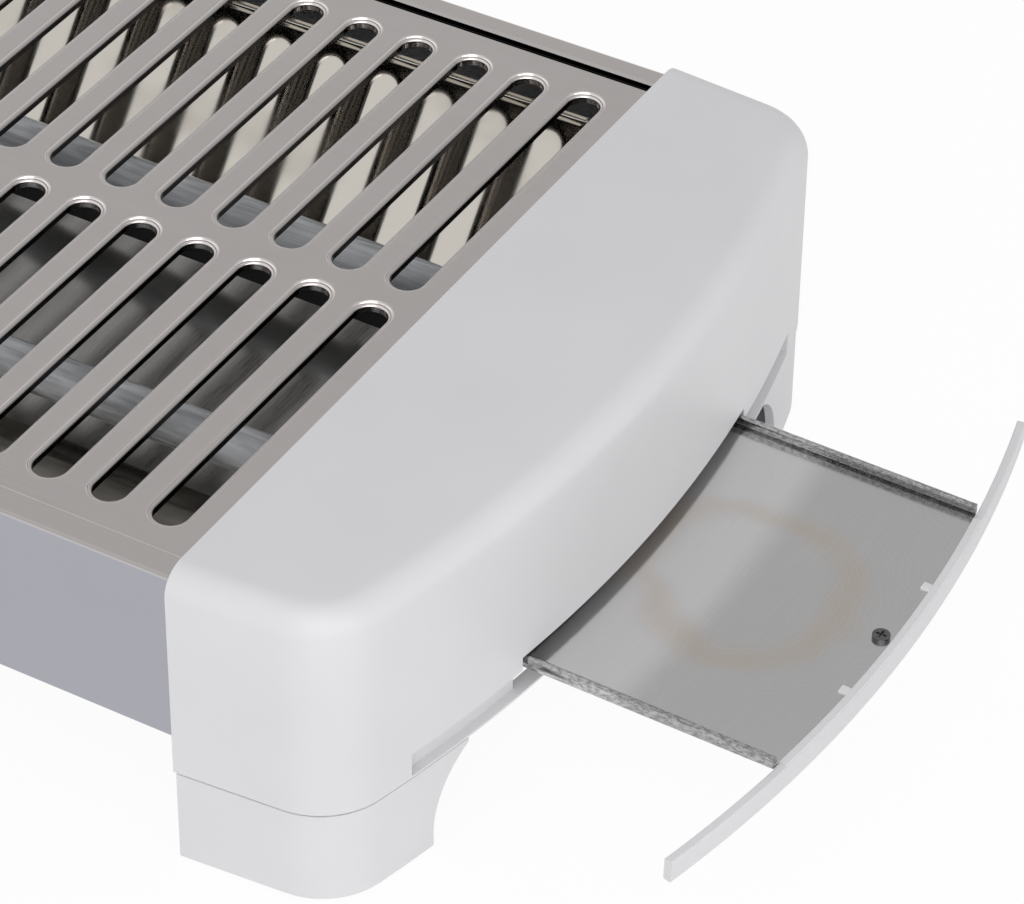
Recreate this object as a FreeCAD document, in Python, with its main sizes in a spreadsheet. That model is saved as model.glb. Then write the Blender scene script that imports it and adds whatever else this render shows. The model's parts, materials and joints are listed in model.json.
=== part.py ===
import FreeCAD, Part
import math
import os

import Sketcher

# A flat toaster: a low steel casing with a slotted grille, a moulded cap and two feet at each
# end, two quartz heating tubes under the grille, and a crumb tray that slides out of one end.
# X runs from the control end to the tray end, Y from the near side to the far side, Z up.
# The bodies are drawn with x = 0 in the middle of the casing and z = 0 on the table.

DIMENSIONS = {
    # casing and grille
    "casing_length": 280.2,
    "casing_width": 220.0,
    "casing_top": 79.5,
    "casing_bottom": 33.3,
    "sheet": 0.8,
    "rim_width": 6.0,
    "rim_drop": 2.9,
    "rim_ledge": 5.0,
    "bottom_flange": 9.0,
    "bend": 1.2,
    "tuck": 8.0,
    "panel_top": 78.2,
    "panel_half_width": 102.3,
    "slot_pitch": 15.81,
    "slot_width": 8.24,
    "slot_inner": 4.17,
    "slot_outer": 93.8,
    "slots_per_row": 17,
    "collar_depth": 2.3,
    "collar_wall": 0.9,
    "slot_edge_round": 1.3,
    "stiffener_half_length": 138.0,
    "stiffener_half_width": 3.0,
    "stiffener_bottom": 70.4,
    # end caps
    "cap_half_width": 113.0,
    "cap_reach": 56.2,
    "cap_bottom": 26.4,
    "cap_top": 82.7,
    "cap_wall": 2.7,
    "cap_roof": 2.9,
    "cap_taper": 4.4,
    "cap_corner": 18.4,
    "cap_face_radius": 373.6,
    "cap_edge_round": 5.5,
    "cap_lip_thickness": 2.4,
    "cap_lip_gap": 0.3,
    "recess_top": 33.35,
    "recess_bottom": 26.95,
    "recess_half_length": 87.8,
    "recess_depth": 2.45,
    "tray_mouth_half_width": 51.85,
    "tray_mouth_top": 37.1,
    "cap_post_radius": 4.5,
    "cap_post_y": 86.0,
    "cap_post_z": 55.0,
    "screw_pilot": 1.3,
    "screw_clearance": 1.7,
    "boss_radius": 4.6,
    "boss_x": 15.0,
    "boss_y": 99.0,
    "boss_height": 22.0,
    "boss_web": 1.8,
    "base_screw_x": 110.0,
    "base_screw_inset": 6.5,
    "boss_web_inset": 3.2,
    "cap_post_setback": 14.0,
    "cap_post_pilot": 18.0,
    # feet
    "foot_bottom": 1.0,
    "foot_inset": 0.35,
    "foot_groove": 0.6,
    "foot_groove_depth": 0.9,
    "foot_wall": 2.6,
    "foot_screw_height": 15.0,
    "foot_screw_well": 3.3,
    "foot_arch_y": 69.5,
    "foot_arch_z": 24.6,
    "foot_leg_y": 80.8,
    "foot_leg_z": 5.0,
    "foot_arch_radius": 22.65,
    "pad_radius": 7.0,
    "pad_height": 3.0,
    "pad_x": 33.0,
    "pad_y": 95.5,
    "pad_socket": 1.8,
    # base
    "base_bottom": 29.6,
    "base_middle_half_width": 57.0,
    "base_middle_reach": 42.0,
    "base_half_width": 108.6,
    # crumb tray, drawn level and then tilted down towards its front
    "tray_half_width": 50.7,
    "tray_length": 289.0,
    "tray_sheet": 0.6,
    "tray_rim_height": 2.9,
    "tray_hem_width": 1.6,
    "tray_hem_height": 2.3,
    "tray_floor_top": 33.45,
    "tray_tilt": 1.0,
    "tray_travel": 63.9,
    "bar_thickness": 2.15,
    "bar_half_length": 87.2,
    "bar_height": 6.0,
    "bar_top": 33.0,
    "bar_flange": 8.0,
    "bar_flange_thickness": 2.0,
    "bar_rib_height": 0.35,
    "hook_y": 20.4,
    "hook_width": 2.4,
    "hook_length": 1.6,
    "hook_height": 0.8,
    "hook_gap": 0.25,
    "tray_screw_inset": 2.7,
    "rail_wall": 1.6,
    "rail_clearance": 0.4,
    "rail_ledge": 6.0,
    "rail_roof": 0.9,
    "rail_back": 60.0,
    "rail_top": 46.0,
    # heating
    "tube_y": 37.6,
    "tube_z": 52.2,
    "tube_radius": 5.5,
    "tube_wall": 1.1,
    "tube_half_length": 147.0,
    "coil_radius": 3.4,
    "coil_wall": 0.7,
    "insulator_radius": 7.4,
    "insulator_length": 13.0,
    "terminal_radius": 1.4,
    "terminal_length": 13.0,
    "bracket_x": 140.9,
    "bracket_sheet": 1.0,
    "bracket_half_width": 107.5,
    "bracket_top": 75.6,
    "bracket_corner": 10.0,
    "bracket_step": 3.0,
    "bracket_arch_margin": 3.2,
    "reflector_sheet": 0.6,
    "reflector_inner_y": 45.5,
    "reflector_inner_z": 42.3,
    "reflector_outer_y": 96.5,
    "reflector_outer_z": 65.75,
    "reflector_ledge": 2.9,
    "reflector_upstand": 9.4,
    # control end
    "switch_z": 59.0,
    "switch_half_length": 15.0,
    "switch_half_height": 9.8,
    "switch_bezel": 2.0,
    "switch_body_half_length": 13.9,
    "switch_body_half_height": 8.4,
    "switch_body_depth": 19.0,
    "switch_cavity_depth": 13.0,
    "rocker_radius": 12.9,
    "rocker_half_height": 6.3,
    "rocker_gap": 0.35,
    "rocker_pivot": 1.5,
    "rocker_face": 3.0,
    "rocker_back": 4.6,
    "rocker_tilt": 7.0,
    "rocker_pin": 1.2,
    "rocker_pin_length": 0.9,
    "rocker_pin_clearance": 0.05,
    "switch_tag_pitch": 9.0,
    "switch_tag_width": 6.3,
    "switch_tag_length": 8.0,
    "switch_tag_thickness": 0.8,
    "lamp_radius": 2.3,
    "inlet_y": 62.0,
    "inlet_z": 41.0,
    "inlet_flange_radius": 9.5,
    "inlet_flange": 2.2,
    "inlet_stem_radius": 6.0,
    "inlet_length": 14.0,
    "inlet_bore": 3.6,
    "wire_radius": 1.1,
    "block_x": -147.9,
    "block_y": 76.0,
    "block_z": 38.0,
    "block_length": 12.0,
    "block_width": 30.0,
    "block_height": 11.0,
    "block_pitch": 9.5,
    "block_way_z": 4.2,
    "block_way_radius": 1.6,
    "block_well_radius": 2.2,
    "block_well_depth": 4.0,
    "fuse_radius": 2.4,
    "fuse_length": 11.0,
    "fuse_lead_radius": 0.5,
    "fuse_lead_length": 19.0,
    # where the middle of the casing lies, with the tray out and the origin mid-length
    "body_centre_x": -29.062,
}

document = FreeCAD.newDocument("flat_toaster")
sheet = document.addObject("Spreadsheet::Sheet", "Sizes")
for row, (alias, number) in enumerate(DIMENSIONS.items(), start=1):
    sheet.set("A%d" % row, alias.replace("_", " "))
    sheet.set("B%d" % row, "%g" % number)
    sheet.setAlias("B%d" % row, alias)
document.recompute()


class Size:
    """A number together with the formula that ties it to the sheet."""

    def __init__(self, value, formula):
        self.value = float(value)
        self.formula = formula

    def _combine(self, other, sign, value_of, swapped=False):
        if not isinstance(other, Size):
            other = Size(other, "%.10g" % other)
        first, second = (other, self) if swapped else (self, other)
        return Size(value_of(first.value, second.value), "(%s %s %s)" % (first.formula, sign, second.formula))

    def __add__(self, other):
        return self._combine(other, "+", lambda a, b: a + b)

    def __radd__(self, other):
        return self._combine(other, "+", lambda a, b: a + b, swapped=True)

    def __sub__(self, other):
        return self._combine(other, "-", lambda a, b: a - b)

    def __rsub__(self, other):
        return self._combine(other, "-", lambda a, b: a - b, swapped=True)

    def __mul__(self, other):
        return self._combine(other, "*", lambda a, b: a * b)

    def __rmul__(self, other):
        return self._combine(other, "*", lambda a, b: a * b, swapped=True)

    def __truediv__(self, other):
        return self._combine(other, "/", lambda a, b: a / b)

    def __neg__(self):
        return self * -1


def size(alias):
    return Size(DIMENSIONS[alias], "Sizes.%s" % alias)


def fixed(number):
    return Size(number, "%.10g" % number)


def as_size(item):
    return item if isinstance(item, Size) else fixed(item)


# Sizes that several pieces share

HALF_LENGTH = size("casing_length") / 2
HALF_WIDTH = size("casing_width") / 2
SHEET = size("sheet")
BOW_CENTRE = size("cap_reach") - size("cap_face_radius")
PANEL_UNDERSIDE = size("panel_top") - SHEET
BASE_TOP = size("base_bottom") + SHEET
SIDES = {"near": -1, "far": 1}
ENDS = {"tray_end": 1, "control_end": -1}
BASE_SCREW_X = (-size("base_screw_x"), 0, size("base_screw_x"))
BASE_SCREW_Y = HALF_WIDTH - size("base_screw_inset")
BEYOND = 1.0
TUBE_FIT = 0.05

pieces = {}


# Small helpers for bodies, sketches and features

def new_body(name, place=(0, 0, 0), turn=None):
    """A body whose Placement follows the sheet; turn is (axis, angle in degrees)."""
    body = document.addObject("PartDesign::Body", name)
    body.Label = name
    put(body, place, turn)
    pieces[name] = body
    return body


def put(item, place, turn=None):
    if turn:
        item.Placement.Rotation = FreeCAD.Rotation(FreeCAD.Vector(*turn[0]), 0)
        item.setExpression("Placement.Rotation.Angle", as_size(turn[1]).formula)
    for letter, coordinate in zip("xyz", place):
        whole = as_size(coordinate)
        if letter == "x":
            whole = size("body_centre_x") + whole
        item.setExpression("Placement.Base.%s" % letter, whole.formula)


def origin_plane(body, role):
    return [item for item in body.Origin.OriginFeatures if item.Role == role][0]


def new_sketch(body, name, role="XY_Plane", offset=0):
    """A sketch on one of the body's own planes; offset is along the sketch's normal."""
    sketch = body.newObject("Sketcher::SketchObject", "%s_%s" % (body.Name, name))
    sketch.AttachmentSupport = (origin_plane(body, role), "")
    sketch.MapMode = "FlatFace"
    sketch.setExpression("AttachmentOffset.Base.z", as_size(offset).formula)
    return sketch


def tie(sketch, kind, references, length):
    """Adds a dimension and binds it to the sheet; a zero keeps the point on its axis."""
    length = as_size(length)
    if kind in ("DistanceX", "DistanceY") and abs(length.value) < 1e-9:
        axis = -2 if kind == "DistanceX" else -1
        sketch.addConstraint(Sketcher.Constraint("PointOnObject", references[2], references[3], axis))
        return
    value = math.radians(length.value) if kind == "Angle" else length.value
    index = sketch.addConstraint(Sketcher.Constraint(kind, *references, value))
    formula = "(%s) * 1 deg" % length.formula if kind == "Angle" else length.formula
    sketch.setExpression("Constraints[%d]" % index, formula)


def fix_point(sketch, geometry, end, x, y):
    tie(sketch, "DistanceX", (-1, 1, geometry, end), x)
    tie(sketch, "DistanceY", (-1, 1, geometry, end), y)


def vector(x, y, z=0.0):
    return FreeCAD.Vector(x, y, z)


def polygon(sketch, corners):
    """Straight edges through the corners, each corner tied to the sheet."""
    corners = [(as_size(x), as_size(y)) for x, y in corners]
    first = sketch.GeometryCount
    for start, end in zip(corners, corners[1:] + corners[:1]):
        line = Part.LineSegment(vector(start[0].value, start[1].value), vector(end[0].value, end[1].value))
        sketch.addGeometry(line, False)
    for step, corner in enumerate(corners):
        after = (step + 1) % len(corners)
        sketch.addConstraint(Sketcher.Constraint("Coincident", first + step, 2, first + after, 1))
        fix_point(sketch, first + step, 1, *corner)


def rectangle(sketch, x_low, x_high, y_low, y_high):
    polygon(sketch, [(x_low, y_low), (x_high, y_low), (x_high, y_high), (x_low, y_high)])


def circle(sketch, x, y, radius):
    x, y, radius = as_size(x), as_size(y), as_size(radius)
    index = sketch.addGeometry(Part.Circle(vector(x.value, y.value), vector(0, 0, 1), radius.value), False)
    tie(sketch, "Radius", (index,), radius)
    fix_point(sketch, index, 3, x, y)


def arc(sketch, x, y, radius, start, end):
    """A counter-clockwise arc about (x, y) between two angles in radians."""
    whole = Part.Circle(vector(x, y), vector(0, 0, 1), radius)
    return sketch.addGeometry(Part.ArcOfCircle(whole, start, end), False)


def line(sketch, start, end):
    return sketch.addGeometry(Part.LineSegment(vector(*start), vector(*end)), False)


def round_ended_slot(sketch, x, y_low, y_high, radius):
    """A slot along Y whose ends are half circles about (x, y_low) and (x, y_high)."""
    x, y_low, y_high, radius = as_size(x), as_size(y_low), as_size(y_high), as_size(radius)
    r = radius.value
    low = arc(sketch, x.value, y_low.value, r, math.pi, 2 * math.pi)
    right = line(sketch, (x.value + r, y_low.value), (x.value + r, y_high.value))
    high = arc(sketch, x.value, y_high.value, r, 0, math.pi)
    left = line(sketch, (x.value - r, y_high.value), (x.value - r, y_low.value))
    for one, two in ((low, right), (right, high), (high, left), (left, low)):
        sketch.addConstraint(Sketcher.Constraint("Tangent", one, 2, two, 1))
    sketch.addConstraint(Sketcher.Constraint("Equal", low, high))
    tie(sketch, "Radius", (low,), radius)
    fix_point(sketch, low, 3, x, y_low)
    fix_point(sketch, high, 3, x, y_high)


def cap_outline(sketch, inset, start=0):
    """Plan of an end cap from x = start outwards: two sides that draw in, two round corners
    and a long bowed end face, all moved inwards by inset."""
    inset = as_size(inset)
    start = as_size(start)
    taper = math.radians(DIMENSIONS["cap_taper"])
    half_width = size("cap_half_width") - inset - start * math.tan(taper)
    corner = size("cap_corner") - inset
    face = size("cap_face_radius") - inset
    centre = BOW_CENTRE
    r, big, w, x0 = corner.value, face.value, half_width.value, start.value
    along = (math.cos(taper), math.sin(taper))
    from_centre = (x0 - r * along[1] - centre.value, -w + r * along[0])
    dot = from_centre[0] * along[0] + from_centre[1] * along[1]
    reach = -dot + math.sqrt(dot ** 2 - from_centre[0] ** 2 - from_centre[1] ** 2 + (big - r) ** 2)
    side_end = (x0 + reach * along[0], -w + reach * along[1])
    corner_x = side_end[0] - r * along[1]
    corner_y = side_end[1] + r * along[0]
    face_angle = math.atan2(-corner_y, corner_x - centre.value)
    side = line(sketch, (x0, -w), side_end)
    near = arc(sketch, corner_x, corner_y, r, taper - math.pi / 2, -face_angle)
    bow = arc(sketch, centre.value, 0, big, -face_angle, face_angle)
    far = arc(sketch, corner_x, -corner_y, r, face_angle, math.pi / 2 - taper)
    back = line(sketch, (side_end[0], -side_end[1]), (x0, w))
    joint = line(sketch, (x0, w), (x0, -w))
    for one, two in ((side, near), (near, bow), (bow, far), (far, back)):
        sketch.addConstraint(Sketcher.Constraint("Tangent", one, 2, two, 1))
    for one, two in ((back, joint), (joint, side)):
        sketch.addConstraint(Sketcher.Constraint("Coincident", one, 2, two, 1))
    fix_point(sketch, side, 1, start, -half_width)
    fix_point(sketch, joint, 1, start, half_width)
    sketch.addConstraint(Sketcher.Constraint("Equal", near, far))
    tie(sketch, "Radius", (near,), corner)
    tie(sketch, "Radius", (bow,), face)
    fix_point(sketch, bow, 3, centre, 0)
    tie(sketch, "Angle", (side,), size("cap_taper"))
    tie(sketch, "Angle", (back,), 180 - size("cap_taper"))


def bowed_strip(sketch, centre_x, outer, inner, half_length):
    """The stretch between two arcs about (centre_x, 0), cut off square at both ends."""
    centre_x, outer, inner, half_length = [as_size(item) for item in (centre_x, outer, inner, half_length)]
    c, big, small, h = centre_x.value, outer.value, inner.value, half_length.value
    big_angle = math.asin(h / big)
    small_angle = math.asin(h / small)
    out = arc(sketch, c, 0, big, -big_angle, big_angle)
    inside = arc(sketch, c, 0, small, -small_angle, small_angle)
    big_x = c + big * math.cos(big_angle)
    small_x = c + small * math.cos(small_angle)
    top = line(sketch, (big_x, h), (small_x, h))
    bottom = line(sketch, (small_x, -h), (big_x, -h))
    joints = ((out, 2, top, 1), (top, 2, inside, 2), (inside, 1, bottom, 1), (bottom, 2, out, 1))
    for one, one_end, two, two_end in joints:
        sketch.addConstraint(Sketcher.Constraint("Coincident", one, one_end, two, two_end))
    tie(sketch, "Radius", (out,), outer)
    tie(sketch, "Radius", (inside,), inner)
    fix_point(sketch, out, 3, centre_x, 0)
    sketch.addConstraint(Sketcher.Constraint("Coincident", out, 3, inside, 3))
    for edge, height in ((top, half_length), (bottom, -half_length)):
        sketch.addConstraint(Sketcher.Constraint("Horizontal", edge))
        tie(sketch, "DistanceY", (-1, 1, edge, 1), height)


def pad(body, sketch, length, both_ways=False, reverse=False):
    feature = body.newObject("PartDesign::Pad", sketch.Name + "_pad")
    feature.Profile = sketch
    feature.setExpression("Length", as_size(length).formula)
    feature.Midplane = both_ways
    feature.Reversed = reverse
    sketch.Visibility = False
    document.recompute()
    return feature


def pocket(body, sketch, length, both_ways=False, reverse=False):
    """Cuts the sketch away, against its normal unless reverse is set."""
    before = body.Shape.Volume
    feature = body.newObject("PartDesign::Pocket", sketch.Name + "_pocket")
    feature.Profile = sketch
    feature.setExpression("Length", as_size(length).formula)
    feature.Midplane = both_ways
    feature.Reversed = reverse
    sketch.Visibility = False
    document.recompute()
    if not body.Shape.Volume < before - 1e-3:
        raise RuntimeError("%s removes nothing" % feature.Name)
    return feature


def edges_where(body, test):
    """Names of the edges of the body's last feature that pass the test."""
    shape = body.Tip.Shape
    return ["Edge%d" % (number + 1) for number, edge in enumerate(shape.Edges) if test(edge)]


def fillet(body, names, radius):
    """Rounds named edges of the body's last feature."""
    base = body.Tip
    feature = body.newObject("PartDesign::Fillet", "%s_round%d" % (body.Name, len(body.Group)))
    feature.Base = (base, names)
    feature.setExpression("Radius", as_size(radius).formula)
    document.recompute()
    return feature


def row_along_x(body, features, pitch, count):
    """Repeats features along X; the first of them stands at the low end."""
    pattern = body.newObject("PartDesign::LinearPattern", "%s_row%d" % (body.Name, len(body.Group)))
    pattern.Originals = features
    x_axis = [item for item in body.Origin.OriginFeatures if item.Role == "X_Axis"][0]
    pattern.Direction = (x_axis, [""])
    pattern.setExpression("Length", (pitch * (count - 1)).formula)
    pattern.Occurrences = count
    body.Tip = pattern
    document.recompute()
    return pattern


def is_flat_at(edge, z, tolerance=1e-4):
    level = edge.BoundBox.ZLength < tolerance
    return level and all(abs(vertex.Z - z) < tolerance for vertex in edge.Vertexes)


def cylinder(name, radius, length, base, direction=(0, 0, 1)):
    """A Part cylinder from base along direction, bound to the sheet."""
    item = document.addObject("Part::Cylinder", name)
    item.setExpression("Radius", as_size(radius).formula)
    item.setExpression("Height", as_size(length).formula)
    item.Placement.Rotation = FreeCAD.Rotation(vector(0, 0, 1), vector(*direction))
    for letter, coordinate in zip("xyz", base):
        item.setExpression("Placement.Base.%s" % letter, as_size(coordinate).formula)
    return item


def box(name, x_span, y_span, z_span):
    item = document.addObject("Part::Box", name)
    spans = [(as_size(low), as_size(high)) for low, high in (x_span, y_span, z_span)]
    for letter, side, (low, high) in zip("xyz", ("Length", "Width", "Height"), spans):
        item.setExpression(side, (high - low).formula)
        item.setExpression("Placement.Base.%s" % letter, low.formula)
    return item


def union(name, parts):
    item = document.addObject("Part::MultiFuse", name)
    item.Shapes = parts
    return item


def cut(name, base, tool):
    item = document.addObject("Part::Cut", name)
    item.Base = base
    item.Tool = tool
    return item


def group(name, parts):
    """Several separate solids in one node."""
    item = document.addObject("Part::Compound", name)
    item.Links = parts
    return item


def finish_piece(name, item, place=(0, 0, 0), turn=None):
    item.Label = name
    put(item, place, turn)
    pieces[name] = item


# Casing

def make_casing_side(side):
    """Folded sheet: tall wall, rim turned inwards, short drop, ledge for the grille, foot flange."""
    name = "casing_side_%s" % side
    body = new_body(name, turn=((0, 0, 1), 180 if side == "near" else 0))
    wall = HALF_WIDTH
    rim_inner = HALF_WIDTH - size("rim_width")
    low = size("casing_bottom")
    top = size("casing_top")
    ledge_top = top - size("rim_drop") + SHEET
    flange_inner = wall - size("bottom_flange")
    profile = new_sketch(body, "profile", "YZ_Plane", -HALF_LENGTH - size("tuck"))
    polygon(profile, [
        (wall, low), (wall, top), (rim_inner, top), (rim_inner, ledge_top),
        (rim_inner - size("rim_ledge"), ledge_top), (rim_inner - size("rim_ledge"), ledge_top - SHEET),
        (rim_inner + SHEET, ledge_top - SHEET), (rim_inner + SHEET, top - SHEET), (wall - SHEET, top - SHEET),
        (wall - SHEET, low + SHEET), (flange_inner, low + SHEET), (flange_inner, low)])
    pad(body, profile, size("casing_length") + size("tuck") * 2)
    outer = edges_where(body, lambda edge: edge.BoundBox.XLength > 100
                        and edge.BoundBox.YMin > wall.value - 1e-3
                        and edge.BoundBox.ZLength < 1e-3)
    fillet(body, outer, size("bend") * 0.55)
    lip = edges_where(body, lambda edge: edge.BoundBox.XLength > 100
                      and abs(edge.BoundBox.YMin - rim_inner.value) < 1e-3
                      and abs(edge.BoundBox.ZMin - top.value) < 1e-3)
    fillet(body, lip, SHEET * 0.9)
    holes = new_sketch(body, "holes", "XY_Plane", low + SHEET)
    for x in BASE_SCREW_X:
        circle(holes, x, BASE_SCREW_Y, size("screw_clearance"))
    pocket(body, holes, SHEET * 2)


def make_grille_panel():
    """Thin sheet with two rows of slots, each with a drawn collar and a rolled edge."""
    body = new_body("grille_panel")
    outline = new_sketch(body, "outline", "XY_Plane", PANEL_UNDERSIDE)
    reach = HALF_LENGTH + size("tuck")
    rectangle(outline, -reach, reach, -size("panel_half_width"), size("panel_half_width"))
    pad(body, outline, SHEET)
    radius = size("slot_width") / 2
    first_x = size("slot_pitch") * -((DIMENSIONS["slots_per_row"] - 1) / 2)
    rows = ((size("slot_inner"), size("slot_outer")), (-size("slot_outer"), -size("slot_inner")))
    repeated = []
    for number, (low, high) in enumerate(rows):
        collar = new_sketch(body, "collar%d" % number, "XY_Plane", size("panel_top") - size("collar_depth"))
        round_ended_slot(collar, first_x, low + radius, high - radius, radius + size("collar_wall"))
        repeated.append(pad(body, collar, size("collar_depth") - SHEET * 0.5))
        opening = new_sketch(body, "slot%d" % number, "XY_Plane", size("panel_top"))
        round_ended_slot(opening, first_x, low + radius, high - radius, radius)
        repeated.append(pocket(body, opening, size("collar_depth") * 1.5))
    row_along_x(body, repeated, size("slot_pitch"), DIMENSIONS["slots_per_row"])
    panel_edge = DIMENSIONS["panel_half_width"] - 1.0
    top_edges = edges_where(body, lambda edge: is_flat_at(edge, DIMENSIONS["panel_top"])
                            and edge.BoundBox.YMax < panel_edge and edge.BoundBox.YMin > -panel_edge
                            and edge.BoundBox.XLength < 20)
    fillet(body, top_edges, size("slot_edge_round"))


def make_grille_stiffener():
    """Angle strip along the middle of the grille, spot-welded under the land between the rows."""
    body = new_body("grille_stiffener")
    half = size("stiffener_half_width")
    low = size("stiffener_bottom")
    profile = new_sketch(body, "profile", "YZ_Plane", -size("stiffener_half_length"))
    polygon(profile, [
        (-half, low), (-half + SHEET, low), (-half + SHEET, PANEL_UNDERSIDE - SHEET),
        (half, PANEL_UNDERSIDE - SHEET), (half, PANEL_UNDERSIDE), (-half, PANEL_UNDERSIDE)])
    pad(body, profile, size("stiffener_half_length") * 2)


# End caps and feet

def cap_place(end):
    """The caps and feet are drawn from their joint with the casing outwards, along +X."""
    turn = None if end == "tray_end" else ((0, 0, 1), 180)
    return (HALF_LENGTH * ENDS[end], 0, 0), turn


def make_end_cap(end):
    """Hollow moulding, open below and towards the casing."""
    place, turn = cap_place(end)
    body = new_body("%s_cap" % end, place, turn)
    outline = new_sketch(body, "outline", "XY_Plane", size("cap_bottom"))
    cap_outline(outline, 0)
    pad(body, outline, size("cap_top") - size("cap_bottom"))
    top = DIMENSIONS["cap_top"]
    rim = edges_where(body, lambda edge: is_flat_at(edge, top) and edge.BoundBox.XMax > 0.01)
    fillet(body, rim, size("cap_edge_round"))
    hollow = new_sketch(body, "hollow", "XY_Plane", size("cap_top") - size("cap_roof"))
    cap_outline(hollow, size("cap_wall") + size("recess_depth") * 0.6, start=size("cap_lip_thickness"))
    pocket(body, hollow, size("cap_top") - size("cap_bottom"))
    mouth = new_sketch(body, "mouth", "YZ_Plane", size("cap_lip_thickness") + 0.1)
    reach = HALF_WIDTH + 0.3
    rectangle(mouth, -reach, reach, size("cap_bottom") - 1, size("panel_top") + size("cap_lip_gap"))
    pocket(body, mouth, size("cap_lip_thickness") + 1)
    step = new_sketch(body, "step", "YZ_Plane", size("tuck") + 0.3)
    rectangle(step, -reach, reach, size("cap_bottom") - 1, size("casing_top") + size("cap_lip_gap"))
    pocket(body, step, size("tuck") - size("cap_lip_thickness") + 0.3)
    for side in (-1, 1):
        # the casing rim stands higher than the grille, so the lip is notched above it
        notch = new_sketch(body, "notch%d" % (side + 1), "YZ_Plane", size("cap_lip_thickness") + 0.1)
        inner = (HALF_WIDTH - size("rim_width") - 0.4) * side
        low_y, high_y = sorted((inner, reach * side), key=lambda item: item.value)
        rectangle(notch, low_y, high_y, size("panel_top"), size("casing_top") + size("cap_lip_gap"))
        pocket(body, notch, size("cap_lip_thickness") + 1)
    add_cap_bosses(body)
    if end == "tray_end":
        cut_tray_mouth(body)
    else:
        cut_control_face(body)


def add_cap_bosses(body):
    """Two posts along X that the bracket's screws enter, two bosses that the feet hang from."""
    post_start = size("bracket_x") + size("bracket_sheet") - HALF_LENGTH + 0.1
    posts = new_sketch(body, "posts", "YZ_Plane", post_start)
    for side in (-1, 1):
        circle(posts, size("cap_post_y") * side, size("cap_post_z"), size("cap_post_radius"))
    pad(body, posts, size("cap_reach") - size("cap_post_setback"))
    trim_to_outline(body)
    pilot_depth = size("cap_post_pilot")
    pilot = new_sketch(body, "pilots", "YZ_Plane", post_start + pilot_depth)
    for side in (-1, 1):
        circle(pilot, size("cap_post_y") * side, size("cap_post_z"), size("screw_pilot"))
    pocket(body, pilot, pilot_depth + BEYOND)
    bosses = new_sketch(body, "bosses", "XY_Plane", size("cap_bottom"))
    for side in (-1, 1):
        circle(bosses, size("boss_x"), size("boss_y") * side, size("boss_radius"))
    pad(body, bosses, size("boss_height"))
    webs = new_sketch(body, "webs", "XY_Plane", size("cap_bottom"))
    for side in (-1, 1):
        wall_y = size("cap_half_width") - size("boss_web_inset")
        low_y, high_y = sorted((size("boss_y") * side, wall_y * side), key=lambda item: item.value)
        half_web = size("boss_web") / 2
        rectangle(webs, size("boss_x") - half_web, size("boss_x") + half_web, low_y, high_y)
    pad(body, webs, size("boss_height"))
    holes = new_sketch(body, "boss_holes", "XY_Plane", size("cap_bottom") + size("boss_height") - 3)
    for side in (-1, 1):
        circle(holes, size("boss_x"), size("boss_y") * side, size("screw_pilot"))
    pocket(body, holes, size("boss_height"))


def trim_to_outline(body):
    """Cuts off whatever of the posts would stand out of the bowed end face."""
    beyond = new_sketch(body, "beyond", "XY_Plane", size("cap_post_z") + 8)
    bowed_strip(beyond, BOW_CENTRE, size("cap_face_radius") + 30,
                size("cap_face_radius"), size("cap_post_y") + 8)
    feature = body.newObject("PartDesign::Pocket", beyond.Name + "_pocket")
    feature.Profile = beyond
    feature.Length = 16
    document.recompute()


def cut_tray_mouth(body):
    """A bowed recess for the tray's front bar, and behind it the mouth that the tray slides through."""
    recess = new_sketch(body, "recess", "XY_Plane", size("recess_top"))
    bowed_strip(recess, BOW_CENTRE, size("cap_face_radius") + 6,
                size("cap_face_radius") - size("recess_depth"), size("recess_half_length"))
    pocket(body, recess, size("recess_top") - size("recess_bottom"))
    slot = new_sketch(body, "slot", "YZ_Plane", size("cap_reach") + 5)
    rectangle(slot, -size("tray_mouth_half_width"), size("tray_mouth_half_width"),
              size("recess_bottom"), size("tray_mouth_top"))
    pocket(body, slot, 26)


def cut_control_face(body):
    """A rectangular hole for the rocker switch and a round one for the cord's bush."""
    holes = new_sketch(body, "control_holes", "YZ_Plane", size("cap_reach") + 5)
    rectangle(holes, -size("switch_body_half_length") - 0.2, size("switch_body_half_length") + 0.2,
              size("switch_z") - size("switch_body_half_height") - 0.2,
              size("switch_z") + size("switch_body_half_height") + 0.2)
    circle(holes, -size("inlet_y"), size("inlet_z"), size("inlet_stem_radius") + 0.8)
    pocket(body, holes, 26)


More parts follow.
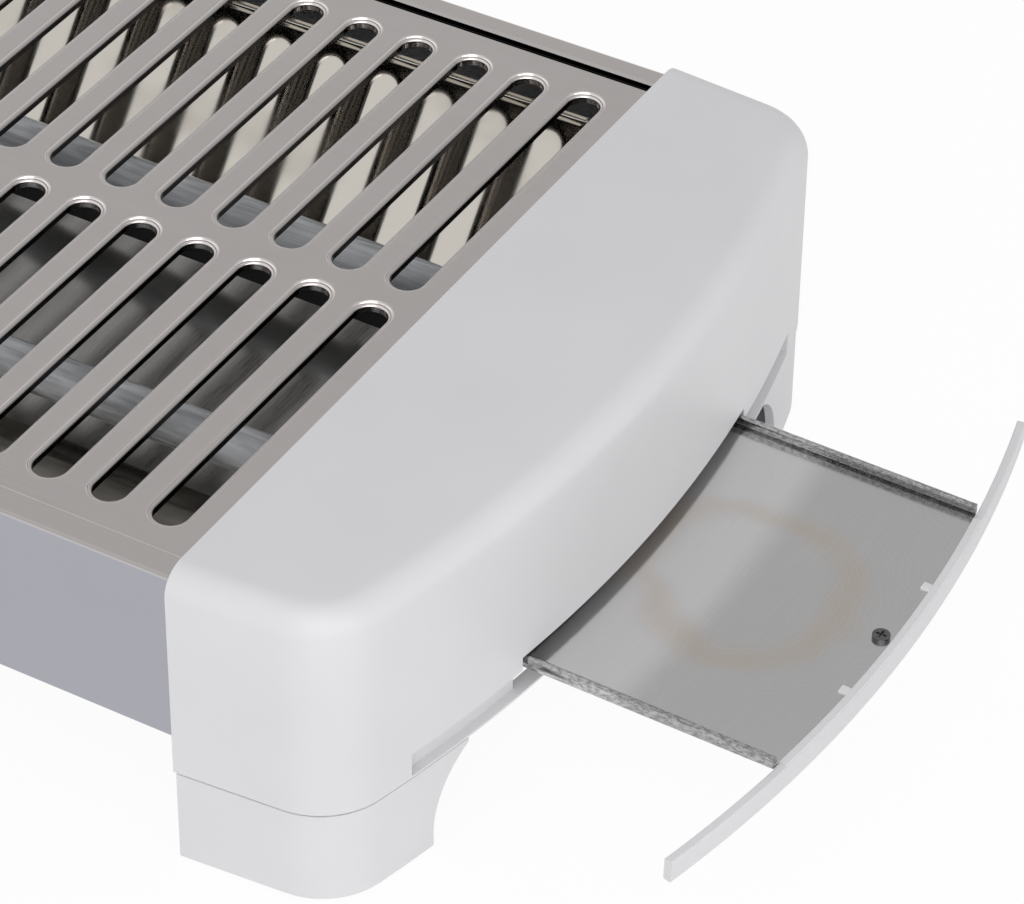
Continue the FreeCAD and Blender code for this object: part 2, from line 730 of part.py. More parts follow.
def make_foot(end, side):
    """Hollow corner block with an arched inner edge, hung from the cap's boss by one screw."""
    name = "%s_foot_%s" % (end, side)
    place, turn = cap_place(end)
    body = new_body(name, place, turn)
    sign = SIDES[side] * ENDS[end]
    low = size("foot_bottom")
    neck_top = size("cap_bottom")
    block_top = neck_top - size("foot_groove")
    block = new_sketch(body, "block", "XY_Plane", low)
    cap_outline(block, size("foot_inset"), start=0.4)
    pad(body, block, block_top - low)
    neck = new_sketch(body, "neck", "XY_Plane", block_top)
    cap_outline(neck, size("foot_inset") + size("foot_groove_depth"), start=0.9)
    pad(body, neck, size("foot_groove"))
    inside = new_sketch(body, "inside", "XY_Plane", neck_top)
    cap_outline(inside, size("foot_inset") + size("foot_wall"), start=0.4 + size("foot_wall"))
    pocket(body, inside, neck_top - low - size("foot_wall"))
    boss = new_sketch(body, "boss", "XY_Plane", low)
    circle(boss, size("boss_x"), size("boss_y") * sign, size("boss_radius"))
    pad(body, boss, neck_top - low)
    arch = new_sketch(body, "arch", "YZ_Plane", size("cap_reach") + 5)
    cut_foot_arch(arch, sign)
    pocket(body, arch, size("cap_reach") + 10)
    pad_hole = new_sketch(body, "pad_hole", "XY_Plane", low + size("pad_socket"))
    circle(pad_hole, size("pad_x"), size("pad_y") * sign, size("pad_radius") + 0.05)
    pocket(body, pad_hole, size("pad_height"))
    screw_hole = new_sketch(body, "screw_hole", "XY_Plane", neck_top + 1)
    circle(screw_hole, size("boss_x"), size("boss_y") * sign, size("screw_clearance"))
    pocket(body, screw_hole, neck_top + 2)
    well = new_sketch(body, "screw_well", "XY_Plane", size("foot_screw_height"))
    circle(well, size("boss_x"), size("boss_y") * sign, size("foot_screw_well"))
    pocket(body, well, size("foot_screw_height") + BEYOND)


def cut_foot_arch(sketch, sign):
    """Everything on the other side of the arched edge: straight leg, large arc, short drop."""
    y_arch, z_arch = size("foot_arch_y") * sign, size("foot_arch_z")
    y_leg, z_leg = size("foot_leg_y") * sign, size("foot_leg_z")
    radius = size("foot_arch_radius")
    centre = ((size("foot_leg_y") - radius) * sign, z_leg)
    angle = math.atan2((z_arch - centre[1]).value, (y_arch - centre[0]).value)
    other = size("cap_half_width") * -1.1 * sign
    above = size("cap_bottom") + 5
    below = size("foot_bottom") - 5
    corners = [(y_leg, z_leg), (y_leg, below), (other, below),
               (other, above), (y_arch, above), (y_arch, z_arch)]
    edges = []
    for start, end in zip(corners, corners[1:]):
        edges.append(line(sketch, (start[0].value, start[1].value), (end[0].value, end[1].value)))
    for one, two in zip(edges, edges[1:]):
        sketch.addConstraint(Sketcher.Constraint("Coincident", one, 2, two, 1))
    for edge, corner in zip(edges, corners):
        fix_point(sketch, edge, 1, *corner)
    fix_point(sketch, edges[-1], 2, *corners[-1])
    if sign > 0:
        bend = arc(sketch, centre[0].value, centre[1].value, radius.value, 0, angle)
        leg_end, arch_end = 1, 2
    else:
        bend = arc(sketch, centre[0].value, centre[1].value, radius.value, angle, math.pi)
        leg_end, arch_end = 2, 1
    sketch.addConstraint(Sketcher.Constraint("Coincident", bend, leg_end, edges[0], 1))
    sketch.addConstraint(Sketcher.Constraint("Coincident", bend, arch_end, edges[-1], 2))
    tie(sketch, "Radius", (bend,), radius)


def make_foot_pads():
    pads = []
    for end, direction in ENDS.items():
        for side, sign in SIDES.items():
            x = (HALF_LENGTH + size("pad_x")) * direction
            pads.append(cylinder("pad_%s_%s" % (end, side), size("pad_radius"), size("pad_height") - 0.2,
                                 (x, size("pad_y") * sign, 0)))
    finish_piece("foot_pads", group("foot_pads", pads))


# Base, tray and its rails

def make_base_plate():
    """Sheet with a sunk middle under the tray and raised sides under the casing's flanges."""
    body = new_body("base_plate")
    low = size("base_bottom")
    side_top = size("casing_bottom")
    middle = size("base_middle_half_width")
    edge = size("base_half_width")
    profile = new_sketch(body, "profile", "YZ_Plane", -HALF_LENGTH - size("tuck"))
    polygon(profile, [
        (-edge, side_top), (-edge, side_top - SHEET),
        (-middle - SHEET, side_top - SHEET), (-middle - SHEET, low),
        (middle + SHEET, low), (middle + SHEET, side_top - SHEET),
        (edge, side_top - SHEET), (edge, side_top),
        (middle, side_top), (middle, low + SHEET), (-middle, low + SHEET), (-middle, side_top)])
    pad(body, profile, (HALF_LENGTH + size("tuck")) * 2)
    tongue = new_sketch(body, "tongues", "XY_Plane", low)
    reach = HALF_LENGTH + size("base_middle_reach")
    rectangle(tongue, -reach, reach, -middle + 0.5, middle - 0.5)
    pad(body, tongue, SHEET)
    holes = new_sketch(body, "screw_holes", "XY_Plane", side_top + 1)
    for x in BASE_SCREW_X:
        for sign in (-1, 1):
            circle(holes, x, BASE_SCREW_Y * sign, size("screw_clearance"))
    pocket(body, holes, SHEET * 3)


def tray_place(out):
    """The tray's own origin is the bar's outermost point, at the height of the tray's floor."""
    tilt = math.radians(DIMENSIONS["tray_tilt"])
    x = HALF_LENGTH + size("cap_reach") + out * math.cos(tilt)
    z = size("tray_floor_top") - out * math.sin(tilt)
    return (x, 0, z), ((0, 1, 0), size("tray_tilt"))


def make_crumb_tray():
    """Shallow folded pan with hemmed rims; its front edge follows the bowed bar."""
    place, turn = tray_place(size("tray_travel"))
    body = new_body("crumb_tray", place, turn)
    half = size("tray_half_width")
    thin = size("tray_sheet")
    back = -size("bar_thickness") - size("tray_length")
    floor = new_sketch(body, "floor", "XY_Plane", -thin)
    rectangle(floor, back, -size("bar_thickness") * 0.5, -half, half)
    pad(body, floor, thin)
    rims = new_sketch(body, "rims", "XY_Plane", 0)
    rectangle(rims, back, -size("bar_thickness"), -half, -half + thin)
    rectangle(rims, back, -size("bar_thickness"), half - thin, half)
    rectangle(rims, back, back + thin, -half + thin, half - thin)
    pad(body, rims, size("tray_rim_height"))
    hems = new_sketch(body, "hems", "XY_Plane", size("tray_rim_height") - size("tray_hem_height"))
    hem = size("tray_hem_width")
    front_x = -size("bar_thickness")
    polygon(hems, [(front_x, -half), (front_x, -half + hem), (back + hem, -half + hem),
                   (back + hem, half - hem), (front_x, half - hem), (front_x, half),
                   (back, half), (back, -half)])
    pad(body, hems, size("tray_hem_height"))
    long_edges = edges_where(body, lambda edge: is_flat_at(edge, DIMENSIONS["tray_rim_height"])
                             and edge.BoundBox.DiagonalLength > 60)
    fillet(body, long_edges, 0.55)
    front = new_sketch(body, "front", "XY_Plane", size("tray_rim_height") + 1)
    bowed_strip(front, -size("cap_face_radius"), size("cap_face_radius") + 8,
                size("cap_face_radius") - size("bar_thickness"), half + 2)
    pocket(body, front, size("tray_rim_height") + 4)
    openings = new_sketch(body, "hook_openings", "XY_Plane", 1)
    for sign in (-1, 1):
        x_low, x_high, y_low, y_high = hook_span(sign)
        rectangle(openings, x_low - 0.3, x_high + 0.3, y_low - 0.15, y_high + 0.15)
    circle(openings, -size("bar_thickness") - size("tray_screw_inset"), 0, 1.6)
    pocket(body, openings, 3)


def bar_back_at(alias):
    """X of the bar's inner face at a distance from the middle, in the tray's own frame."""
    inner = DIMENSIONS["cap_face_radius"] - DIMENSIONS["bar_thickness"]
    sagitta = inner - math.sqrt(inner ** 2 - DIMENSIONS[alias] ** 2)
    return -size("bar_thickness") - sagitta


def hook_span(sign):
    """Plan of one of the two hooks, in the tray's own frame."""
    x_high = bar_back_at("hook_y") - size("hook_gap")
    half_hook = size("hook_width") / 2
    ends = ((size("hook_y") - half_hook) * sign, (size("hook_y") + half_hook) * sign)
    y_low, y_high = sorted(ends, key=lambda item: item.value)
    return x_high - size("hook_length"), x_high, y_low, y_high


def make_tray_front_bar():
    """Bowed grip, with a flange under the tray's floor, a rib on top of it and two hooks."""
    place, turn = tray_place(size("tray_travel"))
    body = new_body("tray_front_bar", place, turn)
    centre = -size("cap_face_radius")
    outer = size("cap_face_radius")
    inner = outer - size("bar_thickness")
    top = size("bar_top") - size("tray_floor_top")
    under = -size("tray_sheet")
    bar = new_sketch(body, "bar", "XY_Plane", top - size("bar_height"))
    bowed_strip(bar, centre, outer, inner, size("bar_half_length"))
    pad(body, bar, size("bar_height"))
    flange = new_sketch(body, "flange", "XY_Plane", under - size("bar_flange_thickness"))
    bowed_strip(flange, centre, outer - 0.4, inner - size("bar_flange"), size("tray_half_width") - 4)
    pad(body, flange, size("bar_flange_thickness"))
    rib = new_sketch(body, "rib", "XY_Plane", top)
    bowed_strip(rib, centre, outer - 0.2, inner, size("tray_half_width") - 2.2)
    pad(body, rib, size("bar_rib_height") - top)
    hooks = new_sketch(body, "hooks", "XY_Plane", under - size("bar_flange_thickness") / 2)
    for sign in (-1, 1):
        rectangle(hooks, *hook_span(sign))
    pad(body, hooks, size("bar_flange_thickness") / 2 + size("tray_sheet") + size("hook_height"))
    pilot = new_sketch(body, "pilot", "XY_Plane", 0)
    circle(pilot, -size("bar_thickness") - size("tray_screw_inset"), 0, 1.0)
    pocket(body, pilot, 6)


def screw_body(name, head_radius, head_height, shank_radius, shank_length):
    """Pan-head screw drawn pointing down, with its head's underside at z = 0, and a cross recess."""
    head = cylinder(name + "_head", head_radius, head_height, (0, 0, 0))
    shank = cylinder(name + "_shank", shank_radius, fixed(shank_length) + 0.2, (0, 0, -shank_length))
    joined = union(name + "_blank", [head, shank])
    arm = fixed(head_radius) * 0.6
    low, high = fixed(head_height) * 0.45, fixed(head_height) + 1
    cross = union(name + "_cross", [
        box(name + "_slot_x", (-arm, arm), (-0.3, 0.3), (low, high)),
        box(name + "_slot_y", (-0.3, 0.3), (-arm, arm), (low, high))])
    return cut(name + "_solid", joined, cross)


def screw_group(name, blank, spots):
    """One screw repeated; each spot is a place and the direction that its head faces."""
    copies = []
    for number, (place, facing) in enumerate(spots):
        link = document.addObject("Part::Feature", "%s_%d" % (name, number))
        link.Shape = blank.Shape.copy()
        turned = FreeCAD.Rotation(vector(0, 0, 1), vector(*facing))
        link.Placement = FreeCAD.Placement(vector(0, 0, 0), turned)
        for letter, coordinate in zip("xyz", place):
            link.setExpression("Placement.Base.%s" % letter, as_size(coordinate).formula)
        copies.append(link)
    item = group(name, copies)
    finish_piece(name, item)


def make_tray_screw():
    """Small screw that holds the bar's flange to the tray's floor."""
    place, turn = tray_place(size("tray_travel"))
    item = screw_body("tray_screw", 2.1, 0.9, 1.0, 2.2)
    holder = union("tray_front_screw", [item, cylinder("tray_screw_core", 0.9, 0.6, (0, 0, -0.8))])
    tilt = math.radians(DIMENSIONS["tray_tilt"])
    inset = size("bar_thickness") + size("tray_screw_inset")
    x = place[0] - inset * math.cos(tilt)
    z = place[2] + inset * math.sin(tilt)
    finish_piece("tray_front_screw", holder, (x, 0, z), turn)


def make_tray_rail(side):
    """Wedge with a channel that slopes like the tray; the tray's hemmed edge runs in it."""
    sign = SIDES[side]
    name = "tray_rail_%s" % side
    gap = size("rail_clearance")
    half = size("tray_half_width")
    x_high = HALF_LENGTH + size("base_middle_reach") - 2
    blank = box(name + "_blank", (-size("rail_back"), x_high),
                (half - size("rail_ledge"), half + gap + size("rail_wall")), (BASE_TOP, size("rail_top")))
    (apex_x, _, floor_z), _ = tray_place(fixed(0))
    channel_top = size("tray_rim_height") + gap
    channel = box(name + "_channel", (-400, 50), (0, half + gap), (-size("tray_sheet") - gap, channel_top))
    above = box(name + "_above", (-400, 50), (0, 90), (channel_top + size("rail_roof"), 60))
    lid = box(name + "_lid", (-400, 50), (0, half - 2.6), (0, 60))
    opened = cut(name + "_opened", blank, tilted(name + "_tool", [channel, above, lid], apex_x, floor_z))
    if sign < 0:
        mirrored = document.addObject("Part::Mirroring", name)
        mirrored.Source = opened
        mirrored.Normal = (0, 1, 0)
        finish_piece(name, mirrored)
    else:
        finish_piece(name, opened)


def tilted(name, tools, x, z):
    tool = union(name, tools)
    tool.Placement.Rotation = FreeCAD.Rotation(vector(0, 1, 0), 0)
    tool.setExpression("Placement.Rotation.Angle", size("tray_tilt").formula)
    tool.setExpression("Placement.Base.x", x.formula)
    tool.setExpression("Placement.Base.z", z.formula)
    return tool


# Heating

def make_quartz_tube(side):
    body = new_body("quartz_tube_%s" % side, (0, size("tube_y") * SIDES[side], size("tube_z")))
    ring = new_sketch(body, "ring", "YZ_Plane", -size("tube_half_length"))
    circle(ring, 0, 0, size("tube_radius"))
    circle(ring, 0, 0, size("tube_radius") - size("tube_wall"))
    pad(body, ring, size("tube_half_length") * 2)


def make_heating_coil(side):
    """Resistance winding, drawn as the sleeve that its close turns fill inside the milky tube."""
    body = new_body("heating_coil_%s" % side, (0, size("tube_y") * SIDES[side], size("tube_z")))
    ring = new_sketch(body, "ring", "YZ_Plane", -size("tube_half_length") + 8)
    circle(ring, 0, 0, size("coil_radius"))
    circle(ring, 0, 0, size("coil_radius") - size("coil_wall"))
    pad(body, ring, size("tube_half_length") * 2 - 16)


def on_tube(x, sign):
    """A point at x on the axis of the near (-1) or far (1) tube."""
    return (x, size("tube_y") * sign, size("tube_z"))


def make_tube_insulators():
    """Ceramic caps over the four tube ends, each with a shoulder against its bracket."""
    caps = []
    for end, direction in ENDS.items():
        for side, sign in SIDES.items():
            name = "insulator_%s_%s" % (end, side)
            x_start = size("bracket_x") + size("bracket_sheet")
            along = (direction, 0, 0)
            x_tube_end = size("tube_half_length")
            outer = cylinder(name + "_outer", size("insulator_radius"), size("insulator_length"),
                             on_tube(x_start * direction, sign), along)
            bore = cylinder(name + "_bore", size("tube_radius") + TUBE_FIT, x_tube_end - x_start + BEYOND,
                            on_tube((x_start - BEYOND) * direction, sign), along)
            pin_hole = cylinder(name + "_pin_hole", size("terminal_radius") + TUBE_FIT,
                                size("insulator_length") + BEYOND * 2,
                                on_tube((x_tube_end - BEYOND) * direction, sign), along)
            caps.append(cut(name, outer, union(name + "_holes", [bore, pin_hole])))
    finish_piece("tube_insulators", group("tube_insulators", caps))


def make_tube_terminals():
    """Pins that leave the ceramic caps and carry the current to the winding."""
    pins = []
    for end, direction in ENDS.items():
        for side, sign in SIDES.items():
            pins.append(cylinder("terminal_%s_%s" % (end, side), size("terminal_radius"),
                                 size("terminal_length"), on_tube(terminal_start() * direction, sign),
                                 (direction, 0, 0)))
    finish_piece("tube_terminals", group("tube_terminals", pins))


def terminal_start():
    return size("tube_half_length") + 0.2


def terminal_end():
    return terminal_start() + size("terminal_length")


def make_element_bracket(end):
    """Upright end plate of the heating chamber: holds both tubes, straddles the tray."""
    direction = ENDS[end]
    body = new_body("element_bracket_%s" % end)
    low_x = size("bracket_x") * direction - (size("bracket_sheet") if direction < 0 else 0)
    plate = new_sketch(body, "plate", "YZ_Plane", low_x)
    half = size("bracket_half_width")
    arch = size("tray_half_width") + size("bracket_arch_margin")
    arch_top = size("reflector_inner_z") - 0.9
    flat = size("casing_bottom") + SHEET + 0.2
    step = size("bracket_step")
    notch = size("base_middle_half_width") + 1.2
    top, shoulder = size("bracket_top"), size("bracket_top") - step
    corner = half - size("bracket_corner")
    right = [(arch, arch_top), (arch, flat + step), (notch, flat + step), (notch, flat),
             (half, flat), (half, shoulder), (corner, shoulder), (corner, top)]
    polygon(plate, right + [(-y, z) for y, z in reversed(right)])
    pad(body, plate, size("bracket_sheet"))
    holes = new_sketch(body, "holes", "YZ_Plane", low_x + size("bracket_sheet") + 1)
    for sign in (-1, 1):
        circle(holes, size("tube_y") * sign, size("tube_z"), size("tube_radius") + 0.35)
        circle(holes, size("cap_post_y") * sign, size("cap_post_z"), size("screw_clearance"))
    pocket(body, holes, size("bracket_sheet") + BEYOND * 2)


def make_side_reflector(side):
    """Polished sheet that rises from the tray's edge to the casing, with a ledge and an upstand."""
    body = new_body("side_reflector_%s" % side, turn=((0, 0, 1), 180 if side == "near" else 0))
    thin = size("reflector_sheet")
    inner_y, inner_z = size("reflector_inner_y"), size("reflector_inner_z")
    outer_y, outer_z = size("reflector_outer_y"), size("reflector_outer_z")
    end_y = outer_y + size("reflector_ledge")
    top = outer_z + size("reflector_upstand")
    half_length = size("bracket_x") - 0.1
    profile = new_sketch(body, "profile", "YZ_Plane", -half_length)
    polygon(profile, [(inner_y, inner_z), (outer_y, outer_z), (end_y - thin, outer_z), (end_y - thin, top),
                      (end_y, top), (end_y, outer_z - thin), (outer_y + thin * 0.3, outer_z - thin),
                      (inner_y + thin * 0.3, inner_z - thin)])
    pad(body, profile, half_length * 2)


# Control end

def switch_frame():
    """The switch is drawn looking out along +X from the middle of the control end's face."""
    return (-HALF_LENGTH - size("cap_reach"), 0, size("switch_z")), ((0, 0, 1), 180)


def make_switch_body():
    place, turn = switch_frame()
    body = new_body("rocker_switch_body", place, turn)
    housing = new_sketch(body, "housing", "YZ_Plane", -size("switch_body_depth"))
    rectangle(housing, -size("switch_body_half_length"), size("switch_body_half_length"),
              -size("switch_body_half_height"), size("switch_body_half_height"))
    pad(body, housing, size("switch_body_depth") + 0.5)
    bezel = new_sketch(body, "bezel", "YZ_Plane", 0)
    rectangle(bezel, -size("switch_half_length"), size("switch_half_length"),
              -size("switch_half_height"), size("switch_half_height"))
    pad(body, bezel, size("switch_bezel"))
    front = edges_where(body, lambda edge: abs(edge.BoundBox.XMin - DIMENSIONS["switch_bezel"]) < 1e-3
                        and edge.BoundBox.XLength < 1e-3)
    fillet(body, front, 0.8)
    cavity = new_sketch(body, "cavity", "YZ_Plane", size("switch_bezel") + 1)
    half = size("rocker_radius") + size("rocker_gap")
    tall = size("rocker_half_height") + size("rocker_gap")
    rectangle(cavity, -half, half, -tall, tall)
    pocket(body, cavity, size("switch_cavity_depth") + size("switch_bezel") + 1)
    pivots = new_sketch(body, "pivots", "XY_Plane", -tall - size("rocker_pin_length") - 0.1)
    circle(pivots, -size("rocker_pivot"), 0, size("rocker_pin") + size("rocker_pin_clearance"))
    pocket(body, pivots, (tall + size("rocker_pin_length") + 0.1) * 2, reverse=True)


def make_rocker():
    """Rocker key: a shallow V in front, round ends about its pivot, shown switched off."""
    place, _ = switch_frame()
    body = new_body("switch_rocker", (place[0] + size("rocker_pivot"), 0, place[2]),
                    ((0, 0, 1), 180 - size("rocker_tilt")))
    radius = DIMENSIONS["rocker_radius"]
    face = DIMENSIONS["rocker_face"] + DIMENSIONS["rocker_pivot"]
    slope = math.tan(math.radians(DIMENSIONS["rocker_tilt"]))
    back = DIMENSIONS["rocker_pivot"] - DIMENSIONS["rocker_back"]
    # the V line x = face + slope * y meets the circle about the pivot at y_tip
    steep = 1 + slope ** 2
    y_tip = (-face * slope + math.sqrt((face * slope) ** 2 - steep * (face ** 2 - radius ** 2))) / steep
    x_tip = face + slope * y_tip
    y_back = math.sqrt(radius ** 2 - back ** 2)
    profile = new_sketch(body, "profile", "XY_Plane", -size("rocker_half_height"))
    tip_angle = math.atan2(y_tip, x_tip)
    back_angle = math.atan2(y_back, back)
    left = arc(profile, 0, 0, radius, tip_angle, back_angle)
    right = arc(profile, 0, 0, radius, -back_angle, -tip_angle)
    rear = line(profile, (back, y_back), (back, -y_back))
    low = line(profile, (x_tip, -y_tip), (face, 0))
    high = line(profile, (face, 0), (x_tip, y_tip))
    for one, two in ((left, rear), (rear, right), (right, low), (low, high), (high, left)):
        profile.addConstraint(Sketcher.Constraint("Coincident", one, 2, two, 1))
    for bend in (left, right):
        tie(profile, "Radius", (bend,), size("rocker_radius"))
        fix_point(profile, bend, 3, 0, 0)
    fix_point(profile, low, 2, size("rocker_face") + size("rocker_pivot"), 0)
    tie(profile, "DistanceX", (-1, 1, rear, 1), size("rocker_pivot") - size("rocker_back"))
    profile.addConstraint(Sketcher.Constraint("Vertical", rear))
    tie(profile, "Angle", (high,), 90 - size("rocker_tilt"))
    tie(profile, "Angle", (low,), 90 + size("rocker_tilt"))
    pad(body, profile, size("rocker_half_height") * 2)
    pins = new_sketch(body, "pins", "XY_Plane", -size("rocker_half_height") - size("rocker_pin_length"))
    circle(pins, 0, 0, size("rocker_pin"))
    pad(body, pins, (size("rocker_half_height") + size("rocker_pin_length")) * 2)


def make_pilot_lamp():
    """Small glow lamp behind the rocker."""
    place, _ = switch_frame()
    x = place[0] + size("switch_cavity_depth") - size("lamp_radius") - 0.3
    bulb = cylinder("pilot_lamp_bulb", size("lamp_radius"), 9, (0, -4.5, 0), (0, 1, 0))
    nose = document.addObject("Part::Sphere", "pilot_lamp_nose")
    nose.setExpression("Radius", (size("lamp_radius") * 0.999).formula)
    nose.setExpression("Placement.Base.y", fixed(4.5).formula)
    finish_piece("pilot_lamp", union("pilot_lamp", [bulb, nose]), (x, 0, place[2]))


def make_switch_terminals():
    """Three flat tags at the back of the switch."""
    place, _ = switch_frame()
    back = size("switch_body_depth")
    half_width = size("switch_tag_width") / 2
    half_thick = size("switch_tag_thickness") / 2
    tags = []
    for number in (-1, 0, 1):
        y = size("switch_tag_pitch") * number
        tags.append(box("switch_tag_%d" % (number + 1), (back, back + size("switch_tag_length")),
                        (y - half_width, y + half_width), (-half_thick, half_thick)))
    finish_piece("switch_terminals", group("switch_terminals", tags), (place[0], 0, place[2]))


def make_inlet_bush():
    """Flanged bush that the mains cord passes through, square to the bowed face."""
    angle = math.degrees(math.asin(DIMENSIONS["inlet_y"] / DIMENSIONS["cap_face_radius"]))
    radius = size("cap_face_radius")
    x = -HALF_LENGTH - size("cap_reach") + radius * (1 - math.cos(math.radians(angle)))
    body = new_body("cable_inlet_bush", (x, size("inlet_y"), size("inlet_z")), ((0, 0, 1), 180 - angle))
    flange = new_sketch(body, "flange", "YZ_Plane", 0.05)
    circle(flange, 0, 0, size("inlet_flange_radius"))
    pad(body, flange, size("inlet_flange"))
    stem = new_sketch(body, "stem", "YZ_Plane", size("inlet_flange") - size("inlet_length"))
    circle(stem, 0, 0, size("inlet_stem_radius"))
    pad(body, stem, size("inlet_length") - 0.5)
    front = edges_where(body, lambda edge: abs(edge.BoundBox.XMin - DIMENSIONS["inlet_flange"] - 0.05) < 1e-3)
    fillet(body, front, 1.0)
    bore = new_sketch(body, "bore", "YZ_Plane", size("inlet_flange") + 1)
    circle(bore, 0, 0, size("inlet_bore"))
    pocket(body, bore, size("inlet_length") + 2)


def make_terminal_block():
    """Three-way block against the end plate, with a clamp screw over each way."""
    body = new_body("terminal_block", (size("block_x"), size("block_y"), size("block_z")))
    half_length, half_width = size("block_length") / 2, size("block_width") / 2
    base = new_sketch(body, "base", "XY_Plane")
    rectangle(base, -half_length, half_length, -half_width, half_width)
    pad(body, base, size("block_height"))
    ways = new_sketch(body, "ways", "YZ_Plane", half_length + BEYOND)
    wells = new_sketch(body, "wells", "XY_Plane", size("block_height") + BEYOND)
    for way in (-1, 0, 1):
        circle(ways, size("block_pitch") * way, size("block_way_z"), size("block_way_radius"))
        circle(wells, 0, size("block_pitch") * way, size("block_well_radius"))
    pocket(body, ways, size("block_length") + BEYOND * 2)
    pocket(body, wells, size("block_well_depth") + BEYOND)


def make_thermal_fuse():
    """Cut-out capsule on the inner end plate, with its two leads."""
    x = -(size("bracket_x") + size("bracket_sheet") + size("fuse_radius") + 0.1)
    can = cylinder("thermal_fuse_can", size("fuse_radius"), size("fuse_length"),
                   (0, -size("fuse_length") / 2, 0), (0, 1, 0))
    lead = cylinder("thermal_fuse_leads", size("fuse_lead_radius"), size("fuse_lead_length"),
                    (0, -size("fuse_lead_length") / 2, 0), (0, 1, 0))
    finish_piece("thermal_fuse", union("thermal_fuse", [can, lead]), (x, 0, size("tube_z")))


def rounded_path(points, radius):
    """Straight runs through the points, joined by tangent arcs of one radius."""
    points = [vector(*point) for point in points]
    edges = []
    start = points[0]
    for before, corner, after in zip(points, points[1:], points[2:]):
        first = (before - corner).normalize()
        second = (after - corner).normalize()
        turn = math.pi - first.getAngle(second)
        setback = radius * math.tan(turn / 2)
        bend_start = corner + first * setback
        bend_end = corner + second * setback
        bisector = (first + second).normalize()
        middle = corner + bisector * (radius / math.cos(turn / 2) - radius)
        edges.append(Part.LineSegment(start, bend_start).toShape())
        edges.append(Part.Arc(bend_start, middle, bend_end).toShape())
        start = bend_end
    edges.append(Part.LineSegment(start, points[-1]).toShape())
    return Part.Wire(edges)


def make_wire(name, points, bend=4.0):
    """Insulated lead along its own route, held at both ends."""
    path = rounded_path(points, bend)
    radius = DIMENSIONS["wire_radius"]
    direction = path.Edges[0].tangentAt(path.Edges[0].FirstParameter)
    ring = Part.Wire([Part.Circle(vector(*points[0]), direction, radius).toShape()])
    lead = path.makePipeShell([ring], True, False)
    expected = math.pi * radius ** 2 * path.Length
    if abs(lead.Volume - expected) > 0.02 * expected:
        raise RuntimeError("%s has the wrong volume" % name)
    item = document.addObject("Part::Feature", name)
    item.Shape = lead
    item.Placement = FreeCAD.Placement()
    finish_piece(name, item)


def make_wires():
    """Leads between the switch, the terminal block, the cut-out and the four tube pins."""
    left = -terminal_end().value
    right = terminal_end().value
    y_tube = DIMENSIONS["tube_y"]
    z_tube = DIMENSIONS["tube_z"]
    tag_end = DIMENSIONS["switch_body_depth"] + DIMENSIONS["switch_tag_length"]
    switch_x = -(HALF_LENGTH + size("cap_reach")).value + tag_end
    switch_z = DIMENSIONS["switch_z"]
    tag_y = DIMENSIONS["switch_tag_pitch"]
    block_x = DIMENSIONS["block_x"] - DIMENSIONS["block_length"] / 2
    block_y = DIMENSIONS["block_y"]
    pitch = DIMENSIONS["block_pitch"]
    way_z = DIMENSIONS["block_z"] + DIMENSIONS["block_way_z"]
    plate_x = -(size("bracket_x") + size("bracket_sheet")).value
    make_wire("lead_switch_to_near_tube", [
        (switch_x, -tag_y, switch_z), (switch_x + 5, -tag_y, switch_z), (switch_x + 5, -22, switch_z + 3),
        (left - 7, -30, z_tube + 4), (left - 7, -y_tube, z_tube), (left, -y_tube, z_tube)], 2.5)
    make_wire("lead_block_to_switch", [
        (switch_x, tag_y, switch_z), (switch_x + 5, tag_y, switch_z), (switch_x + 5, 24, switch_z + 7),
        (-161, 56, 60), (block_x - 7, block_y - pitch, way_z), (block_x, block_y - pitch, way_z)], 2.5)
    make_wire("lead_block_to_far_tube", [
        (block_x, block_y, way_z), (block_x - 6, block_y, way_z), (block_x - 9, 70, 52),
        (left - 9, 48, 58), (left - 7, y_tube, z_tube), (left, y_tube, z_tube)], 2.5)
    make_wire("lead_between_tubes", [
        (right, -y_tube, z_tube), (right + 7, -y_tube, z_tube), (right + 7, -20, z_tube + 6),
        (right + 7, 20, z_tube + 6), (right + 7, y_tube, z_tube), (right, y_tube, z_tube)], 3.0)
    make_wire("earth_lead", [
        (block_x, block_y + pitch, way_z), (block_x - 5, block_y + pitch, way_z), (block_x - 5, 93, 50),
        (-146.2, 93, 64), (plate_x - 0.2, 93, 64)], 1.6)


# Fasteners

def make_screws():
    document.recompute()
    base_blank = screw_body("base_screw", 3.0, 1.6, 1.45, 7.0)
    cap_blank = screw_body("cap_screw", 3.4, 1.9, 1.3, 14.0)
    foot_blank = screw_body("foot_screw", 3.0, 1.8, 1.3, 24.0)
    document.recompute()
    under_base = size("casing_bottom") - SHEET
    screw_group("base_screws", base_blank, [((x, BASE_SCREW_Y * sign, under_base), (0, 0, -1))
                                            for x in BASE_SCREW_X for sign in (-1, 1)])
    inside_x = size("bracket_x")
    post_y, post_z = size("cap_post_y"), size("cap_post_z")
    screw_group("cap_screws", cap_blank, [((inside_x * direction, post_y * sign, post_z), (-direction, 0, 0))
                                          for direction in (-1, 1) for sign in (-1, 1)])
    boss_x = HALF_LENGTH + size("boss_x")
    boss_y, head_z = size("boss_y"), size("foot_screw_height")
    screw_group("foot_screws", foot_blank, [((boss_x * direction, boss_y * sign, head_z), (0, 0, -1))
                                            for direction in (-1, 1) for sign in (-1, 1)])
    for blank in (base_blank, cap_blank, foot_blank):
        blank.Visibility = False


